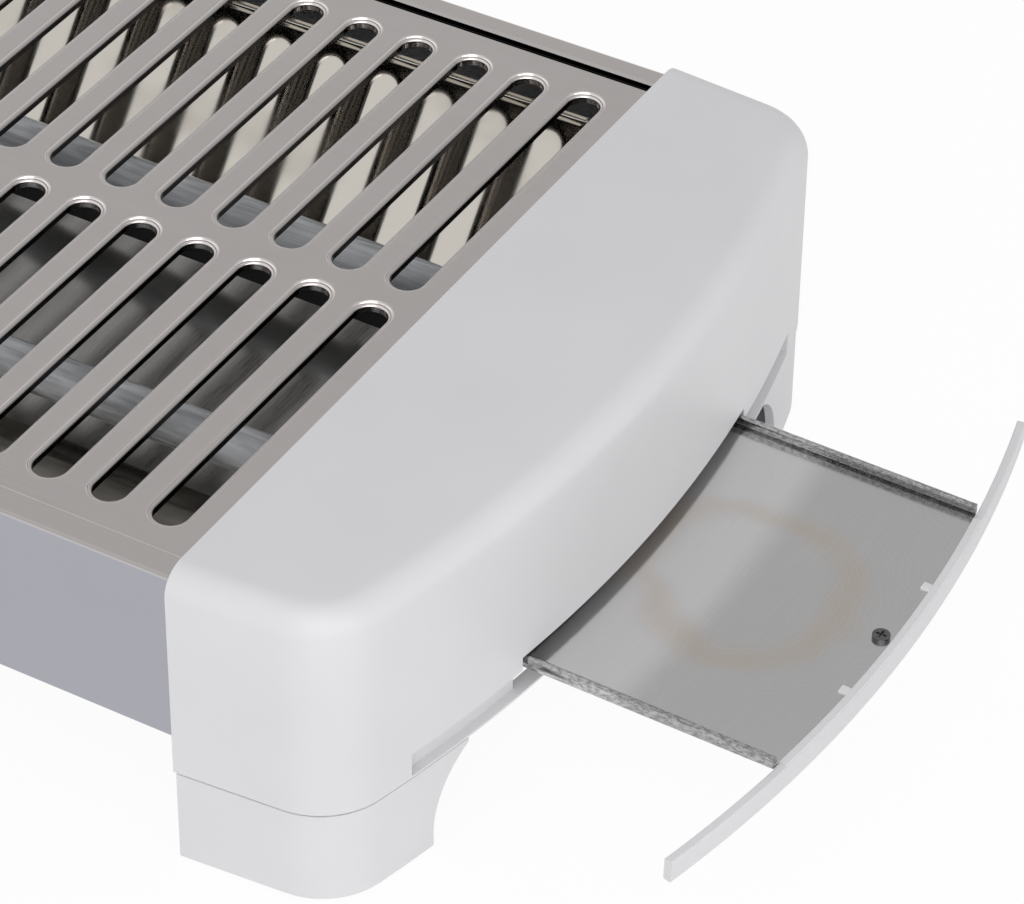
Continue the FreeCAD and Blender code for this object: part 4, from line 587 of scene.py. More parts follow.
def tray_wear_and_painted_light(tree, place, sheet):
    """What use has left on the tray, with painted light: a painted reflection brightens it just outside the
    mouth and painted shade turns it brown at and inside the mouth; use left a bent ring of straw-coloured
    heat tint, faint round scratches and sooty hems."""
    tints = colours()
    # distance from the centre of the mouth's bow, so that each zone has the mouth's curve
    bow = add(tree, "Mapping", {"Location": ((CAP_FACE_RADIUS - CAP_REACH - JOINT_X) * MM, 0.0, 0.0),
                                "Scale": FLATTEN}, {"Vector": place})
    along = add(tree, "VectorMath", {"operation": "LENGTH"}, {0: bow}).outputs["Value"]
    mouth = CAP_FACE_RADIUS
    # painted reflection: a band just outside the mouth's bow is brightened
    painted_reflection_fade = add(tree, "MapRange", {"interpolation_type": "SMOOTHSTEP", 1: (mouth + 17.0) * MM,
                                   2: (mouth + 27.0) * MM, 3: 1.0, 4: 0.0}, {0: along})
    outside = add(tree, "MapRange", {"interpolation_type": "SMOOTHSTEP", 1: (mouth - 30.0) * MM,
                                     2: mouth * MM}, {0: along})
    bright = add(tree, "Math", {"operation": "MULTIPLY"}, {0: painted_reflection_fade, 1: outside})
    sheet = add(tree, "Mix", {"data_type": "RGBA", 7: rgba(tints.tray_steel, 1.28)},
                {0: bright, 6: sheet}).outputs[2]
    # painted shade: the sheet is darkened to brown at the mouth's bow and inside it, under the cap
    brown_film_and_painted_shade = add(tree, "MapRange", {"interpolation_type": "SMOOTHSTEP", 1: (mouth - 12.0) * MM,
                                  2: (mouth + 7.0) * MM, 3: 0.45, 4: 0.0}, {0: along})
    sheet = add(tree, "Mix", {"data_type": "RGBA", 7: rgba(linear("6B6459"))}, {0: brown_film_and_painted_shade, 6: sheet}).outputs[2]
    # heat tint: a ring about the stain's centre, bent by noise whose colour is about 0.5, so that
    # half of the bend's reach comes off again, and broken up by patches
    centred = add(tree, "Mapping", {"Location": [-value * MM for value in STAIN["centre"]], "Scale": FLATTEN},
                  {"Vector": place})
    bends = add(tree, "TexNoise", {"Scale": 1 / (33.3 * MM), "Detail": 2.0},
                {"Vector": place}).outputs["Color"]
    offset = add(tree, "VectorMath", {"operation": "SCALE", "Scale": STAIN["bend"] * MM}, {0: bends})
    bent = add(tree, "VectorMath", {"operation": "ADD"}, {0: centred, 1: offset})
    half_bend = -STAIN["bend"] / 2 * MM
    flat = add(tree, "Mapping", {"Location": (half_bend, half_bend, 0.0), "Scale": FLATTEN}, {"Vector": bent})
    radius = add(tree, "VectorMath", {"operation": "LENGTH"}, {0: flat}).outputs["Value"]
    away = add(tree, "Math", {"operation": "SUBTRACT", 1: STAIN["radius"] * MM}, {0: radius})
    away = add(tree, "Math", {"operation": "ABSOLUTE"}, {0: away})
    band = add(tree, "MapRange", {"interpolation_type": "SMOOTHSTEP", 2: STAIN["width"] * MM, 3: 1.0, 4: 0.0},
               {0: away})
    wider = add(tree, "Mapping", {"Scale": (1.0, 0.7, 1.0)}, {"Vector": place})
    patches = add(tree, "TexNoise", {"Scale": 1 / (30.0 * MM), "Detail": 3.0, "Roughness": 0.55},
                  {"Vector": wider})
    broken = add(tree, "MapRange", {1: 0.35, 2: 0.62, 3: 0.25, 4: tints.stain_strength}, {0: patches})
    mask = add(tree, "Math", {"operation": "MULTIPLY"}, {0: band, 1: broken})
    sheet = add(tree, "Mix", {"data_type": "RGBA", 7: rgba(tints.tray_stain)}, {0: mask, 6: sheet}).outputs[2]
    # round scratches about 1.2 mm apart, coarser than real ones so that they show
    swirls = add(tree, "TexWave", {"wave_type": "RINGS", "rings_direction": "Z",
                                   "Scale": WAVE_TURN / (1.208 * MM), "Distortion": 6.0, "Detail": 2.0,
                                   "Detail Scale": 0.8}, {"Vector": flat}).outputs["Fac"]
    faint = add(tree, "MapRange", {1: 0.8, 4: 0.055}, {0: swirls})
    sheet = add(tree, "Mix", {"data_type": "RGBA", 7: rgba(tints.tray_steel, 1.4)},
                {0: faint, 6: sheet}).outputs[2]
    # soot that wiping leaves on the folded hems
    across = add(tree, "SeparateXYZ", links={0: place}).outputs["Y"]
    outward = add(tree, "Math", {"operation": "ABSOLUTE"}, {0: across})
    hem_inner = TRAY_HALF - sizes().hem_width - 0.2
    on_hem = add(tree, "Math", {"operation": "GREATER_THAN", 1: hem_inner * MM}, {0: outward})
    longer = add(tree, "Mapping", {"Scale": (0.5, 1.0, 1.0)}, {"Vector": place})
    flecks = add(tree, "TexNoise", {"Scale": 1 / (0.6 * MM), "Detail": 3.0, "Roughness": 0.7},
                 {"Vector": longer})
    sooty = add(tree, "MapRange", {1: 0.4, 2: 0.62, 3: 0.2, 4: 0.62}, {0: flecks})
    soot = add(tree, "Math", {"operation": "MULTIPLY"}, {0: on_hem, 1: sooty})
    return add(tree, "Mix", {"data_type": "RGBA", 7: rgba(linear("2E2C2A"))}, {0: soot, 6: sheet}).outputs[2]


def reflector_finish():
    """Bright-rolled aluminium: nearly a mirror, very slightly buckled, with a baked-on brown layer in patches
    of a few centimetres and fine spatter. Its upright outer panel is darkened to a dull grey as painted
    shade."""
    mirror = colours().reflector
    material, tree, place = start_material("bright_rolled_aluminium")
    longer = add(tree, "Mapping", {"Scale": (0.6, 1.0, 1.0)}, {"Vector": place})
    brown_film_and_painted_shade = add(tree, "TexNoise", {"Scale": 1 / (30.0 * MM), "Detail": 3.0, "Roughness": 0.55},
               {"Vector": longer})
    brown = add(tree, "MapRange", {1: 0.5, 2: 0.75, 4: 0.3}, {0: brown_film_and_painted_shade})
    shade = add(tree, "Mix", {"data_type": "RGBA", 6: rgba(mirror), 7: rgba(linear("8C7B66"))},
                {0: brown}).outputs[2]
    spatter = add(tree, "TexNoise", {"Scale": 1 / (1.4 * MM), "Detail": 3.0, "Roughness": 0.65},
                  {"Vector": place})
    spots = add(tree, "MapRange", {1: 0.68, 2: 0.78, 4: 0.4}, {0: spatter})
    shade = add(tree, "Mix", {"data_type": "RGBA", 7: rgba(mirror, 0.4)}, {0: spots, 6: shade}).outputs[2]
    # painted shade: the upright outer panel of the same folded strip is darkened to grey
    parts = add(tree, "SeparateXYZ", links={0: place})
    outward = add(tree, "Math", {"operation": "ABSOLUTE"}, {0: parts.outputs["Y"]})
    outer = REFLECTOR_HIGH[1] - 0.7
    upright = add(tree, "Math", {"operation": "GREATER_THAN", 1: outer * MM}, {0: outward})
    fold = REFLECTOR_HIGH[2] - REFLECTOR_FOLDS["upstand"] + 1.5
    above = add(tree, "Math", {"operation": "GREATER_THAN", 1: fold * MM}, {0: parts.outputs["Z"]})
    panel = add(tree, "Math", {"operation": "MULTIPLY"}, {0: upright, 1: above})
    shade = add(tree, "Mix", {"data_type": "RGBA", 7: rgba(linear("7C7E82"))},
                {0: panel, 6: shade}).outputs[2]
    rough = add(tree, "MapRange", {1: 0.4, 2: 0.8, 3: 0.05, 4: 0.16}, {0: brown_film_and_painted_shade})
    stretched = add(tree, "Mapping", {"Scale": (0.5, 1.0, 1.0)}, {"Vector": place})
    waves = add(tree, "TexNoise", {"Scale": 1 / (60.0 * MM), "Detail": 1.0, "Roughness": 0.55},
                {"Vector": stretched})
    relief = add(tree, "Bump", {"Strength": 0.4, "Distance": 0.12 * MM}, {"Height": waves})
    end_material(tree, {"Metallic": 1.0}, {"Base Color": shade, "Roughness": rough, "Normal": relief})
    return material


def quartz_finish():
    """Milky fused quartz with a satin skin: light cool grey, streaked along the tube, glossy on
    top, and darker in patches, as where a winding lies against the glass."""
    quartz = colours().quartz
    material, tree, place = start_material("milky_fused_quartz")
    drawn = add(tree, "Mapping", {"Scale": (0.05, 1.0, 1.0)}, {"Vector": place})
    streaks = add(tree, "TexNoise", {"Scale": 1 / (1.3 * MM), "Detail": 4.0, "Roughness": 0.55},
                  {"Vector": drawn})
    longer = add(tree, "Mapping", {"Scale": (0.4, 1.0, 1.0)}, {"Vector": place})
    cloud = add(tree, "TexNoise", {"Scale": 1 / (12.0 * MM), "Detail": 3.0, "Roughness": 0.55},
                {"Vector": longer})
    both = add(tree, "Math", {"operation": "MULTIPLY_ADD", 1: 0.5}, {0: streaks, 2: cloud})
    milky = add(tree, "MapRange", {1: 0.55, 2: 0.95}, {0: both})
    shade = add(tree, "Mix", {"data_type": "RGBA", 6: rgba(quartz, 0.7), 7: rgba(quartz, 1.6)},
                {0: milky}).outputs[2]
    rough = add(tree, "MapRange", {1: 0.3, 2: 0.7, 3: 0.18, 4: 0.34}, {0: streaks})
    end_material(tree, {"IOR": 1.46, "Coat Weight": 0.8, "Coat Roughness": 0.06},
                 {"Base Color": shade, "Roughness": rough})
    return material


# Casing and grille

def casing_outline(rim):
    """Section of the far side: wall, rim folded inwards, drop, ledge under the grille, foot flange."""
    size = sizes()
    wall, low, top = SIDE_HIGH[1], SIDE_LOW[2], SIDE_HIGH[2]
    drop, flange = 2.9, 9.0
    inner = wall - rim
    ledge_top = top - drop + SHEET
    bend = size.rim_bend
    corners = [(wall, low), (wall, top), (inner, top), (inner, ledge_top), (inner - LEDGE, ledge_top),
               (inner - LEDGE, ledge_top - SHEET), (inner + SHEET, ledge_top - SHEET),
               (inner + SHEET, top - SHEET), (wall - SHEET, top - SHEET), (wall - SHEET, low + SHEET),
               (wall - flange, low + SHEET), (wall - flange, low)]
    radii = [bend, bend, 0.75, 0.3, 0.2, 0.2, 0.6, 0.2, 0.5, 0.5, 0.2, 0.2]
    return rounded_outline(corners, radii, steps=6)


def make_casing():
    """The two sides, carried along X from under one cap to under the other."""
    reach = 1.6
    # the grille lies against the near rim and leaves a gap at the far one
    near_rim = SIDE_HIGH[1] - PANEL_HIGH[1] - 0.06
    for side, change, rim in (("far", unchanged, FAR_RIM), ("near", mirrored_y, near_rim)):
        points = change(extruded(casing_outline(rim), CENTRE_X - HALF_CASING - reach, JOINT_X + reach, 24))
        make_piece("casing_side_%s_sheet" % side, Surface().tube(points), "housing",
                   MATERIALS["casing"], ("casing_side_%s" % side,))


def stadium(half_straight, radius, straight_steps, round_steps):
    """Points round a slot along Y, from its right side's lower end, against the clock: the two
    straight sides at x = +-radius and half circles about y = +-half_straight."""
    right = np.stack([np.full(straight_steps, radius),
                      np.linspace(-half_straight, half_straight, straight_steps, endpoint=False)], axis=1)
    angles = np.linspace(0, math.pi, round_steps, endpoint=False)
    top = np.stack([radius * np.cos(angles), half_straight + radius * np.sin(angles)], axis=1)
    return np.concatenate([right, top, -right, -top])


def cell_border(half_straight, low, high, half_pitch, straight_steps, round_steps):
    """Points on the cell's rectangle that face the stadium's points; its corners are included."""
    right = np.stack([np.full(straight_steps, half_pitch),
                      np.linspace(-half_straight, half_straight, straight_steps, endpoint=False)], axis=1)
    left = right * [-1.0, -1.0]
    quarter = round_steps // 4

    def over(end):
        rising = np.linspace(half_straight, end, quarter, endpoint=False)
        level = np.linspace(half_pitch, -half_pitch, 2 * quarter, endpoint=False)
        falling = np.linspace(end, half_straight, quarter, endpoint=False)
        x = np.concatenate([np.full(quarter, half_pitch), level, np.full(quarter, -half_pitch)])
        return np.stack([x, np.concatenate([rising, np.full(2 * quarter, end), falling])], axis=1)

    return np.concatenate([right, over(high), left, over(-low) * [-1.0, -1.0]])


def make_grille():
    """The slotted sheet. A slot's cell is rings of points between the cell's rectangle and the
    slot: flat top, first roll, small step, second roll, collar wall, collar foot, underside."""
    size = sizes()
    top, sheet_low = PANEL_HIGH[2], PANEL_HIGH[2] - SHEET
    radius = size.slot_width / 2
    half_straight = (SLOT_OUTER - SLOT_INNER) / 2 - radius
    middle_y = (SLOT_OUTER + SLOT_INNER) / 2
    edge_y = PANEL_HIGH[1]
    half_pitch = SLOT_PITCH / 2
    straight_steps, round_steps = 10, 32
    roll = size.slot_roll
    outer_roll, step, inner_roll = roll * 0.42, roll * 0.16, roll * 0.34
    foot = top - size.collar_depth
    # distance from the slot, height, and the painted light of the sides and of the far end: over 1 a painted
    # highlight, under 1 painted shade
    rings = [(roll + 0.7, top, 1.0, 1.0), (roll + 0.12, top, 1.0, 1.0)]
    outer = arc_points((roll, top - outer_roll), outer_roll, 90, 165, 6)
    rings += [(offset, z, 1.0, 1.0 + 0.13 * number) for number, (offset, z) in enumerate(outer)]
    level = outer[-1][1] - 0.14
    rings += [(outer[-1][0] - step, level, 0.9, 0.15)]
    inner = arc_points((inner_roll, level - inner_roll), inner_roll, 90, 180, 6)
    rings += [(offset, z, 1.0 - 0.15 * number, 1.62) for number, (offset, z) in enumerate(inner)]
    wall_top = inner[-1][1]
    rings += [(0.0, wall_top - 0.1, 0.03, 0.3), (0.0, wall_top - 0.3, 0.03, 1.6),
              (0.0, wall_top - 0.5, 0.03, 1.6), (0.0, foot + 0.15, 0.03, 1.5),
              (0.15, foot, 0.05, 0.3), (0.65, foot, 0.2, 0.2),
              (0.8, foot + 0.2, 0.3, 0.3), (0.85, sheet_low - 0.25, 0.3, 0.3), (1.2, sheet_low, 0.3, 0.3)]
    border = cell_border(half_straight, -middle_y, edge_y - middle_y, half_pitch, straight_steps, round_steps)
    loops = [np.column_stack([border, np.full(len(border), top)])]
    # painted light of the cell's top, of each ring and of the underside, which gets painted shade
    shades = np.array([(1.0, 1.0)] + [ring[2:] for ring in rings] + [(0.3, 0.3)])[:, None, :]
    for offset, z, _, _ in rings:
        loop = stadium(half_straight, radius + offset, straight_steps, round_steps)
        loops.append(np.column_stack([loop, np.full(len(loop), z)]))
    loops.append(np.column_stack([border, np.full(len(border), sheet_low)]))
    cell = np.stack(loops)
    cell[..., 1] += middle_y
    surface, painted_edge_shading = Surface(), []
    for number in range(SLOTS_PER_ROW):
        x = CENTRE_X + (number - (SLOTS_PER_ROW - 1) / 2) * SLOT_PITCH
        for change, row in ((unchanged, 1), (mirrored_y, -1)):
            points = change(cell + [x, 0, 0])
            surface.grid(points, close_columns=True)
            far = np.clip((points[..., 1] - row * middle_y - half_straight) / radius, 0.0, 1.0)
            painted_edge_shading.append((shades[..., 0] * (1.0 - far) + shades[..., 1] * far).ravel())
    # plain strips between the last slots and the caps, with the same points along Y as the cells
    on_side = border[np.isclose(border[:, 0], half_pitch)][:, 1] + middle_y
    y = np.unique(np.round(np.concatenate([on_side, -on_side, [edge_y, -edge_y]]), 6))
    first_edge = HALF_CASING + 1.6
    last_cell = SLOTS_PER_ROW * half_pitch
    for sign in (-1, 1):
        x = CENTRE_X + sign * np.array([last_cell, first_edge])
        for z in (top, sheet_low):
            points = np.empty((2, len(y), 3))
            points[..., 0], points[..., 1], points[..., 2] = x[:, None], y[None], z
            surface.grid(points)
            # painted shade: the strips' underside is darkened like the cells'
            painted_edge_shading.append(np.full(points[..., 0].size, 1.0 if z == top else 0.3))
    mesh = bpy.data.meshes.new("grille_sheet")
    mesh.from_pydata(np.concatenate(surface.points) * MM, [], surface.faces)
    # the painted light and shade are kept on the points for the grille's material
    mesh.attributes.new("painted_edge_shading", "FLOAT", "POINT").data.foreach_set("value", np.concatenate(painted_edge_shading))
    work = bmesh.new()
    work.from_mesh(mesh)
    bmesh.ops.remove_doubles(work, verts=work.verts, dist=2e-6)
    rim = [edge for edge in work.edges if edge.is_boundary]
    bmesh.ops.bridge_loops(work, edges=rim)
    bmesh.ops.recalc_face_normals(work, faces=work.faces)
    work.to_mesh(mesh)
    work.free()
    place_piece("grille_sheet", mesh, "housing", MATERIALS["grille"], ("grille_panel",),
                sharp=40.0)


# End caps and feet

# steps along a cap's side and round its corner
CAP_SIDE_STEPS, CAP_CORNER_STEPS = 5, 10


def cap_plan(inset, bow_y, start=0.0, side_steps=CAP_SIDE_STEPS, corner_steps=CAP_CORNER_STEPS):
    """Plan of a cap moved inwards by inset: side, round corner, bowed face, corner, side.
    The bow's points lie at the given y so that what is cut into it has straight ends."""
    radius = CAP_CORNER - inset
    half_width = CAP_HIGH[1] - inset / math.cos(CAP_TAPER) - start * math.tan(CAP_TAPER)
    face = CAP_FACE_RADIUS - inset
    centre = CAP_REACH - CAP_FACE_RADIUS
    along = np.array([math.cos(CAP_TAPER), math.sin(CAP_TAPER)])
    inward = np.array([-along[1], along[0]])
    first = np.array([start, -half_width])
    offset = first + inward * radius - [centre, 0.0]
    dot = offset @ along
    reach = -dot + math.sqrt(dot ** 2 - offset @ offset + (face - radius) ** 2)
    side_end = first + along * reach
    corner = side_end + inward * radius
    face_angle = math.degrees(math.atan2(-corner[1], corner[0] - centre))
    side = first + np.linspace(0, 1, side_steps, endpoint=False)[:, None] * (side_end - first)
    turn = arc_points(corner, radius, math.degrees(CAP_TAPER) - 90, -face_angle, corner_steps)
    near = np.concatenate([side, turn])
    bow = np.stack([centre + np.sqrt(face ** 2 - bow_y ** 2), bow_y], axis=1)
    return np.concatenate([near, bow, near[::-1] * [1.0, -1.0]])


def to_end(end, points):
    """From a cap's own frame, drawn outwards along +X from its joint, to the tray or control end."""
    if end == "tray_end":
        return points + [JOINT_X, 0.0, 0.0]
    return points * [-1.0, -1.0, 1.0] + [2 * CENTRE_X - JOINT_X, 0.0, 0.0]


def cap_lattice(holes, bow_y, levels):
    """Lattice of a cap's shell. Along the plan; up the wall, over the round edge and across the
    roof to the joint; and from the outer skin through the recess's depth to the inner skin.
    holes are (y low, y high, z low, z high, depth layers) of cells left empty."""
    size = sizes()
    top, low = CAP_HIGH[2], CAP_LOW[2]
    edge = size.cap_round
    roof_shares = np.array([0.12, 0.3, 0.5, 0.7, 0.86, 0.95, 1.0])
    outer, inner = [], []
    wall_z = np.unique(np.concatenate([levels, np.linspace(low, top - edge, 9)]))
    inner_top = top - CAP_ROOF
    for z in wall_z:
        outer.append((0.0, z, 0.0))
        inner.append((CAP_WALL, min(z, inner_top), 0.0))
    for angle in np.radians(np.linspace(0, 90, 10))[1:]:
        inset, z = edge * (1 - math.cos(angle)), top - edge * (1 - math.sin(angle))
        outer.append((inset, z, 0.0))
        inner.append((max(CAP_WALL, inset), min(z, inner_top), 0.0))
    for share in roof_shares:
        outer.append((edge, top, share))
        inner.append((max(CAP_WALL, edge), inner_top, share))

    def skin(rows):
        layer = []
        for inset, z, share in rows:
            plan = cap_plan(inset, bow_y)
            joint = plan * [0.0, 1.0]
            plan = plan * (1 - share) + joint * share
            layer.append(np.column_stack([plan, np.full(len(plan), z)]))
        return np.stack(layer, axis=1)

    outside, inside = skin(outer), skin(inner)
    middle = outside + (inside - outside) * (RECESS["depth"] / CAP_WALL)
    points = np.stack([outside, middle, inside], axis=2)
    solid = np.ones((points.shape[0] - 1, points.shape[1] - 1, 2), bool)
    plan_y = cap_plan(0.0, bow_y)[:, 1]
    mid_y = (plan_y[1:] + plan_y[:-1]) / 2
    side_count = CAP_SIDE_STEPS + CAP_CORNER_STEPS + 1
    on_bow = np.zeros(len(mid_y), bool)
    on_bow[side_count:side_count + len(bow_y) - 1] = True
    mid_z = np.full(solid.shape[1], 1e3)
    mid_z[:len(wall_z) - 1] = (wall_z[1:] + wall_z[:-1]) / 2
    for y_low, y_high, z_low, z_high, layers in holes:
        along = on_bow & (mid_y > y_low) & (mid_y < y_high)
        up = (mid_z > z_low) & (mid_z < z_high)
        for layer in layers:
            solid[np.ix_(along, up, [layer])] = False
    return points, solid


def make_cap(end, holes):
    """One cap: the shell's lattice with its holes, and a lip that covers the grille's end."""
    special_y = [edge for hole in holes for edge in hole[:2]]
    levels = [level for hole in holes for level in hole[2:4]]
    bow_y = np.unique(np.round(np.concatenate([np.linspace(-90, 90, 37), special_y]), 4))
    points, solid = cap_lattice(holes, bow_y, np.array(levels))
    surface = Surface().lattice(points, solid)
    # lip over the grille at the joint, just clear of the sheet
    lip_y = PANEL_HIGH[1] + 1.3
    surface.box((0.0, -lip_y, PANEL_HIGH[2] + 0.3), (2.4, lip_y, CAP_HIGH[2] - CAP_ROOF + 0.4))
    surface.moved(lambda array: to_end(end, array))
    make_piece("%s_moulding" % end, surface, "housing", MATERIALS["plastic"],
               ("%s_cap" % end,), bevel=sizes().cap_crease, sharp=50.0)


def make_caps():
    """The tray end has the bar's recess and the tray's mouth, the control end the openings of the
    rocker switch and of the cord's bush. A hole's layers are 0 for the recess's depth and 1 behind it."""
    recess = (-RECESS["half_length"], RECESS["half_length"], RECESS["low"], RECESS["top"], (0,))
    mouth = (-MOUTH["half_width"], MOUTH["half_width"], RECESS["low"], MOUTH["top"], (0, 1))
    make_cap("tray_end", [recess, mouth])
    switch_low, switch_high = node_box("rocker_switch_body")
    inlet_low, inlet_high = node_box("cable_inlet_bush")
    inlet_y, inlet_z = -(inlet_low[1] + inlet_high[1]) / 2, (inlet_low[2] + inlet_high[2]) / 2
    switch = (switch_low[1] + 1.0, switch_high[1] - 1.0, switch_low[2] + 1.3, switch_high[2] - 1.3, (0, 1))
    inlet = (inlet_y - 5.5, inlet_y + 5.5, inlet_z - 5.5, inlet_z + 5.5, (0, 1))
    make_cap("control_end", [switch, inlet])


def arch_y(z):
    """Distance of a foot's inner edge from the middle at each height: a straight leg, then a
    large arc that leans towards the middle, then a short drop under the cap."""
    radius, leg_y, leg_z = FOOT_ARCH["radius"], FOOT_ARCH["leg_y"], FOOT_ARCH["leg_z"]
    z = np.asarray(z, float)
    bend = leg_y - radius + np.sqrt(np.maximum(radius ** 2 - (z - leg_z) ** 2, 0.0))
    return np.where(z <= leg_z, leg_y, np.where(z >= FOOT_ARCH["drop_z"], FOOT_ARCH["drop_y"], bend))


def make_foot(end, side):
    """Hollow corner block: an outer wall that follows the cap's plan and stops at the arch,
    a wall across its back, a floor round the pad, and a neck that leaves a groove under the cap."""
    low, top = FOOT_LOW[2], CAP_LOW[2]
    groove, groove_depth, inset, wall, start = 0.7, 1.0, 0.35, 2.6, 0.4
    leg = np.linspace(low, FOOT_ARCH["leg_z"], 4)
    arch = np.linspace(FOOT_ARCH["leg_z"], FOOT_ARCH["drop_z"], 20)
    z = np.unique(np.concatenate([leg, arch]))
    z = np.concatenate([z[z < top - groove - 1e-6], [top - groove, top - groove, top]])
    neck = np.zeros(len(z))
    neck[-2:] = groove_depth
    side_steps, corner_steps, bow_steps = 4, 12, 10

    def wall_line(total, end_y):
        """Plan line of the wall, moved inwards by total, from the back to the arch."""
        plan = cap_plan(total, np.array([-90.0]), start, side_steps, corner_steps)
        plan = plan[:side_steps + corner_steps + 1]
        y = np.linspace(plan[-1, 1], end_y, bow_steps + 1)[1:]
        face = CAP_FACE_RADIUS - total
        bow = np.stack([CAP_REACH - CAP_FACE_RADIUS + np.sqrt(face ** 2 - y ** 2), y], axis=1)
        return np.concatenate([plan, bow])

    def skin(extra):
        rows = []
        for height, deeper in zip(z, neck):
            line = wall_line(inset + deeper * (extra == 0) + extra, -float(arch_y(height)))
            rows.append(np.column_stack([line, np.full(len(line), height)]))
        return np.stack(rows, axis=1)

    outside, inside = skin(0.0), skin(wall)
    points = np.stack([outside, inside], axis=2)
    surface = Surface().lattice(points, np.ones((points.shape[0] - 1, points.shape[1] - 1, 1), bool))
    # wall across the back, with the same arched edge
    back_y = np.stack([np.linspace(-CAP_HIGH[1] + 1.5, -float(arch_y(height)), 9) for height in z], axis=1)
    back = np.empty(back_y.shape + (2, 3))
    back[..., 0] = np.array([start, start + wall])
    back[..., 1] = back_y[..., None]
    back[..., 2] = z[None, :, None]
    surface.lattice(back, np.ones((8, len(z) - 1, 1), bool))
    # floor inside the walls
    rim = wall_line(inset + 0.3, -FOOT_ARCH["leg_y"])
    inner_edge = np.column_stack([np.linspace(start, rim[-1, 0], len(rim)),
                                  np.full(len(rim), -FOOT_ARCH["leg_y"])])
    floor = np.empty((len(rim), 2, 2, 3))
    floor[:, 0, :, :2] = rim[:, None]
    floor[:, 1, :, :2] = inner_edge[:, None]
    floor[..., 2] = np.array([low + 0.01, low + wall])
    surface.lattice(floor, np.ones((len(rim) - 1, 1, 1), bool))
    sign = (1 if side == "near" else -1) * (1 if end == "tray_end" else -1)
    if sign < 0:
        surface.moved(mirrored_y)
    surface.moved(lambda array: to_end(end, array))
    make_piece("%s_foot_%s_moulding" % (end, side), surface, "housing", MATERIALS["plastic"],
               ("%s_foot_%s" % (end, side),), bevel=0.25, sharp=50.0)


def make_feet():
    """Four feet, and the pads under them."""
    for end in ("tray_end", "control_end"):
        for side in ("near", "far"):
            make_foot(end, side)
    smooth_copy("foot_pads", "housing", MATERIALS["rubber"])


# Crumb tray

def bar_back(y):
    """X of the front bar's inner face, in the tray's own frame."""
    inner = CAP_FACE_RADIUS - BAR_THICK
    return -CAP_FACE_RADIUS + np.sqrt(inner ** 2 - np.asarray(y) ** 2)


FLOOR_POINTS = 13  # points across each half of the tray's floor


def tray_end(count, first):
    """Faces that close one end of the tray's section: quads between the floor's upper and lower
    points, so that a bowed end stays on its curve, and one face for each hem."""
    last = count // 2
    step = np.arange(FLOOR_POINTS - 1)
    right = np.stack([step, step + 1, last - step - 1, last - step], axis=1)
    hem = np.arange(FLOOR_POINTS - 1, last - FLOOR_POINTS + 2)
    faces = list(right) + list(-right % count) + [hem, -hem % count]
    return [face + first for face in faces]


def tray_section():
    """Closed section of the tray across Y: floor, folded walls and a rounded hem on each."""
    size = sizes()
    half, thin, rim = TRAY_HALF, 0.6, 2.9
    hem_in = half - size.hem_width
    hem_low = rim - size.hem_height
    bend = size.hem_width / 2
    round_top = arc_points((half - bend, rim - bend), bend, 180, 0, 8)
    across = np.linspace(0, half - thin - 1.3, FLOOR_POINTS)
    right = [(y, 0.0) for y in across]
    right += [(half - thin - 1.2, 0.0), (half - thin - 0.5, 0.12), (half - thin - 0.08, 0.5),
              (half - thin, hem_low - 0.05), (hem_in + 0.35, hem_low - 0.1), (hem_in + 0.05, hem_low + 0.1)]
    right += [tuple(point) for point in round_top]
    right += [(half, hem_low + 0.2), (half - 0.05, 0.0), (half - 0.3, -0.42), (half - 0.8, -thin)]
    right += [(y, -thin) for y in across[::-1]]
    right = np.array(right)
    left = right[1:-1][::-1] * [-1.0, 1.0]
    return np.concatenate([right, left])


def make_tray():
    """Folded pan: the section carried along X, each point's run ending on the bowed bar."""
    section = tray_section()
    back = -BAR_THICK - TRAY_LENGTH
    share = np.concatenate([np.linspace(0, 0.9, 13), np.linspace(0.9, 1.0, 5)[1:]])
    front = bar_back(section[:, 0])
    points = np.empty((len(share), len(section), 3))
    points[..., 0] = back + share[:, None] * (front - back)[None]
    points[..., 1:] = section[None]
    rows, count = points.shape[:2]
    faces = list(grid_quads(rows, count, close_columns=True))
    faces += tray_end(count, 0) + tray_end(count, (rows - 1) * count)
    surface = Surface().add(points, faces)
    surface.box((back, -50.0, 0.0), (back + 1.6, 50.0, 2.9))
    surface.moved(tray_to_world)
    make_piece("crumb_tray_sheet", surface, "tray", MATERIALS["tray"], ("crumb_tray",),
               sharp=38.0)


def bowed_bar(radial_low, radial_high, z_low, z_high, half_length, edge, steps=72):
    """A rounded rectangle carried along an arc about the bow's centre."""
    outline = rounded_outline([(radial_low, z_low), (radial_high, z_low), (radial_high, z_high),
                               (radial_low, z_high)], [edge] * 4, steps=4)
    angles = np.linspace(-1, 1, steps + 1) * math.asin(half_length / CAP_FACE_RADIUS)
    points = np.empty((len(angles), len(outline), 3))
    points[..., 0] = -CAP_FACE_RADIUS + outline[None, :, 0] * np.cos(angles)[:, None]
    points[..., 1] = outline[None, :, 0] * np.sin(angles)[:, None]
    points[..., 2] = outline[None, :, 1]
    return points


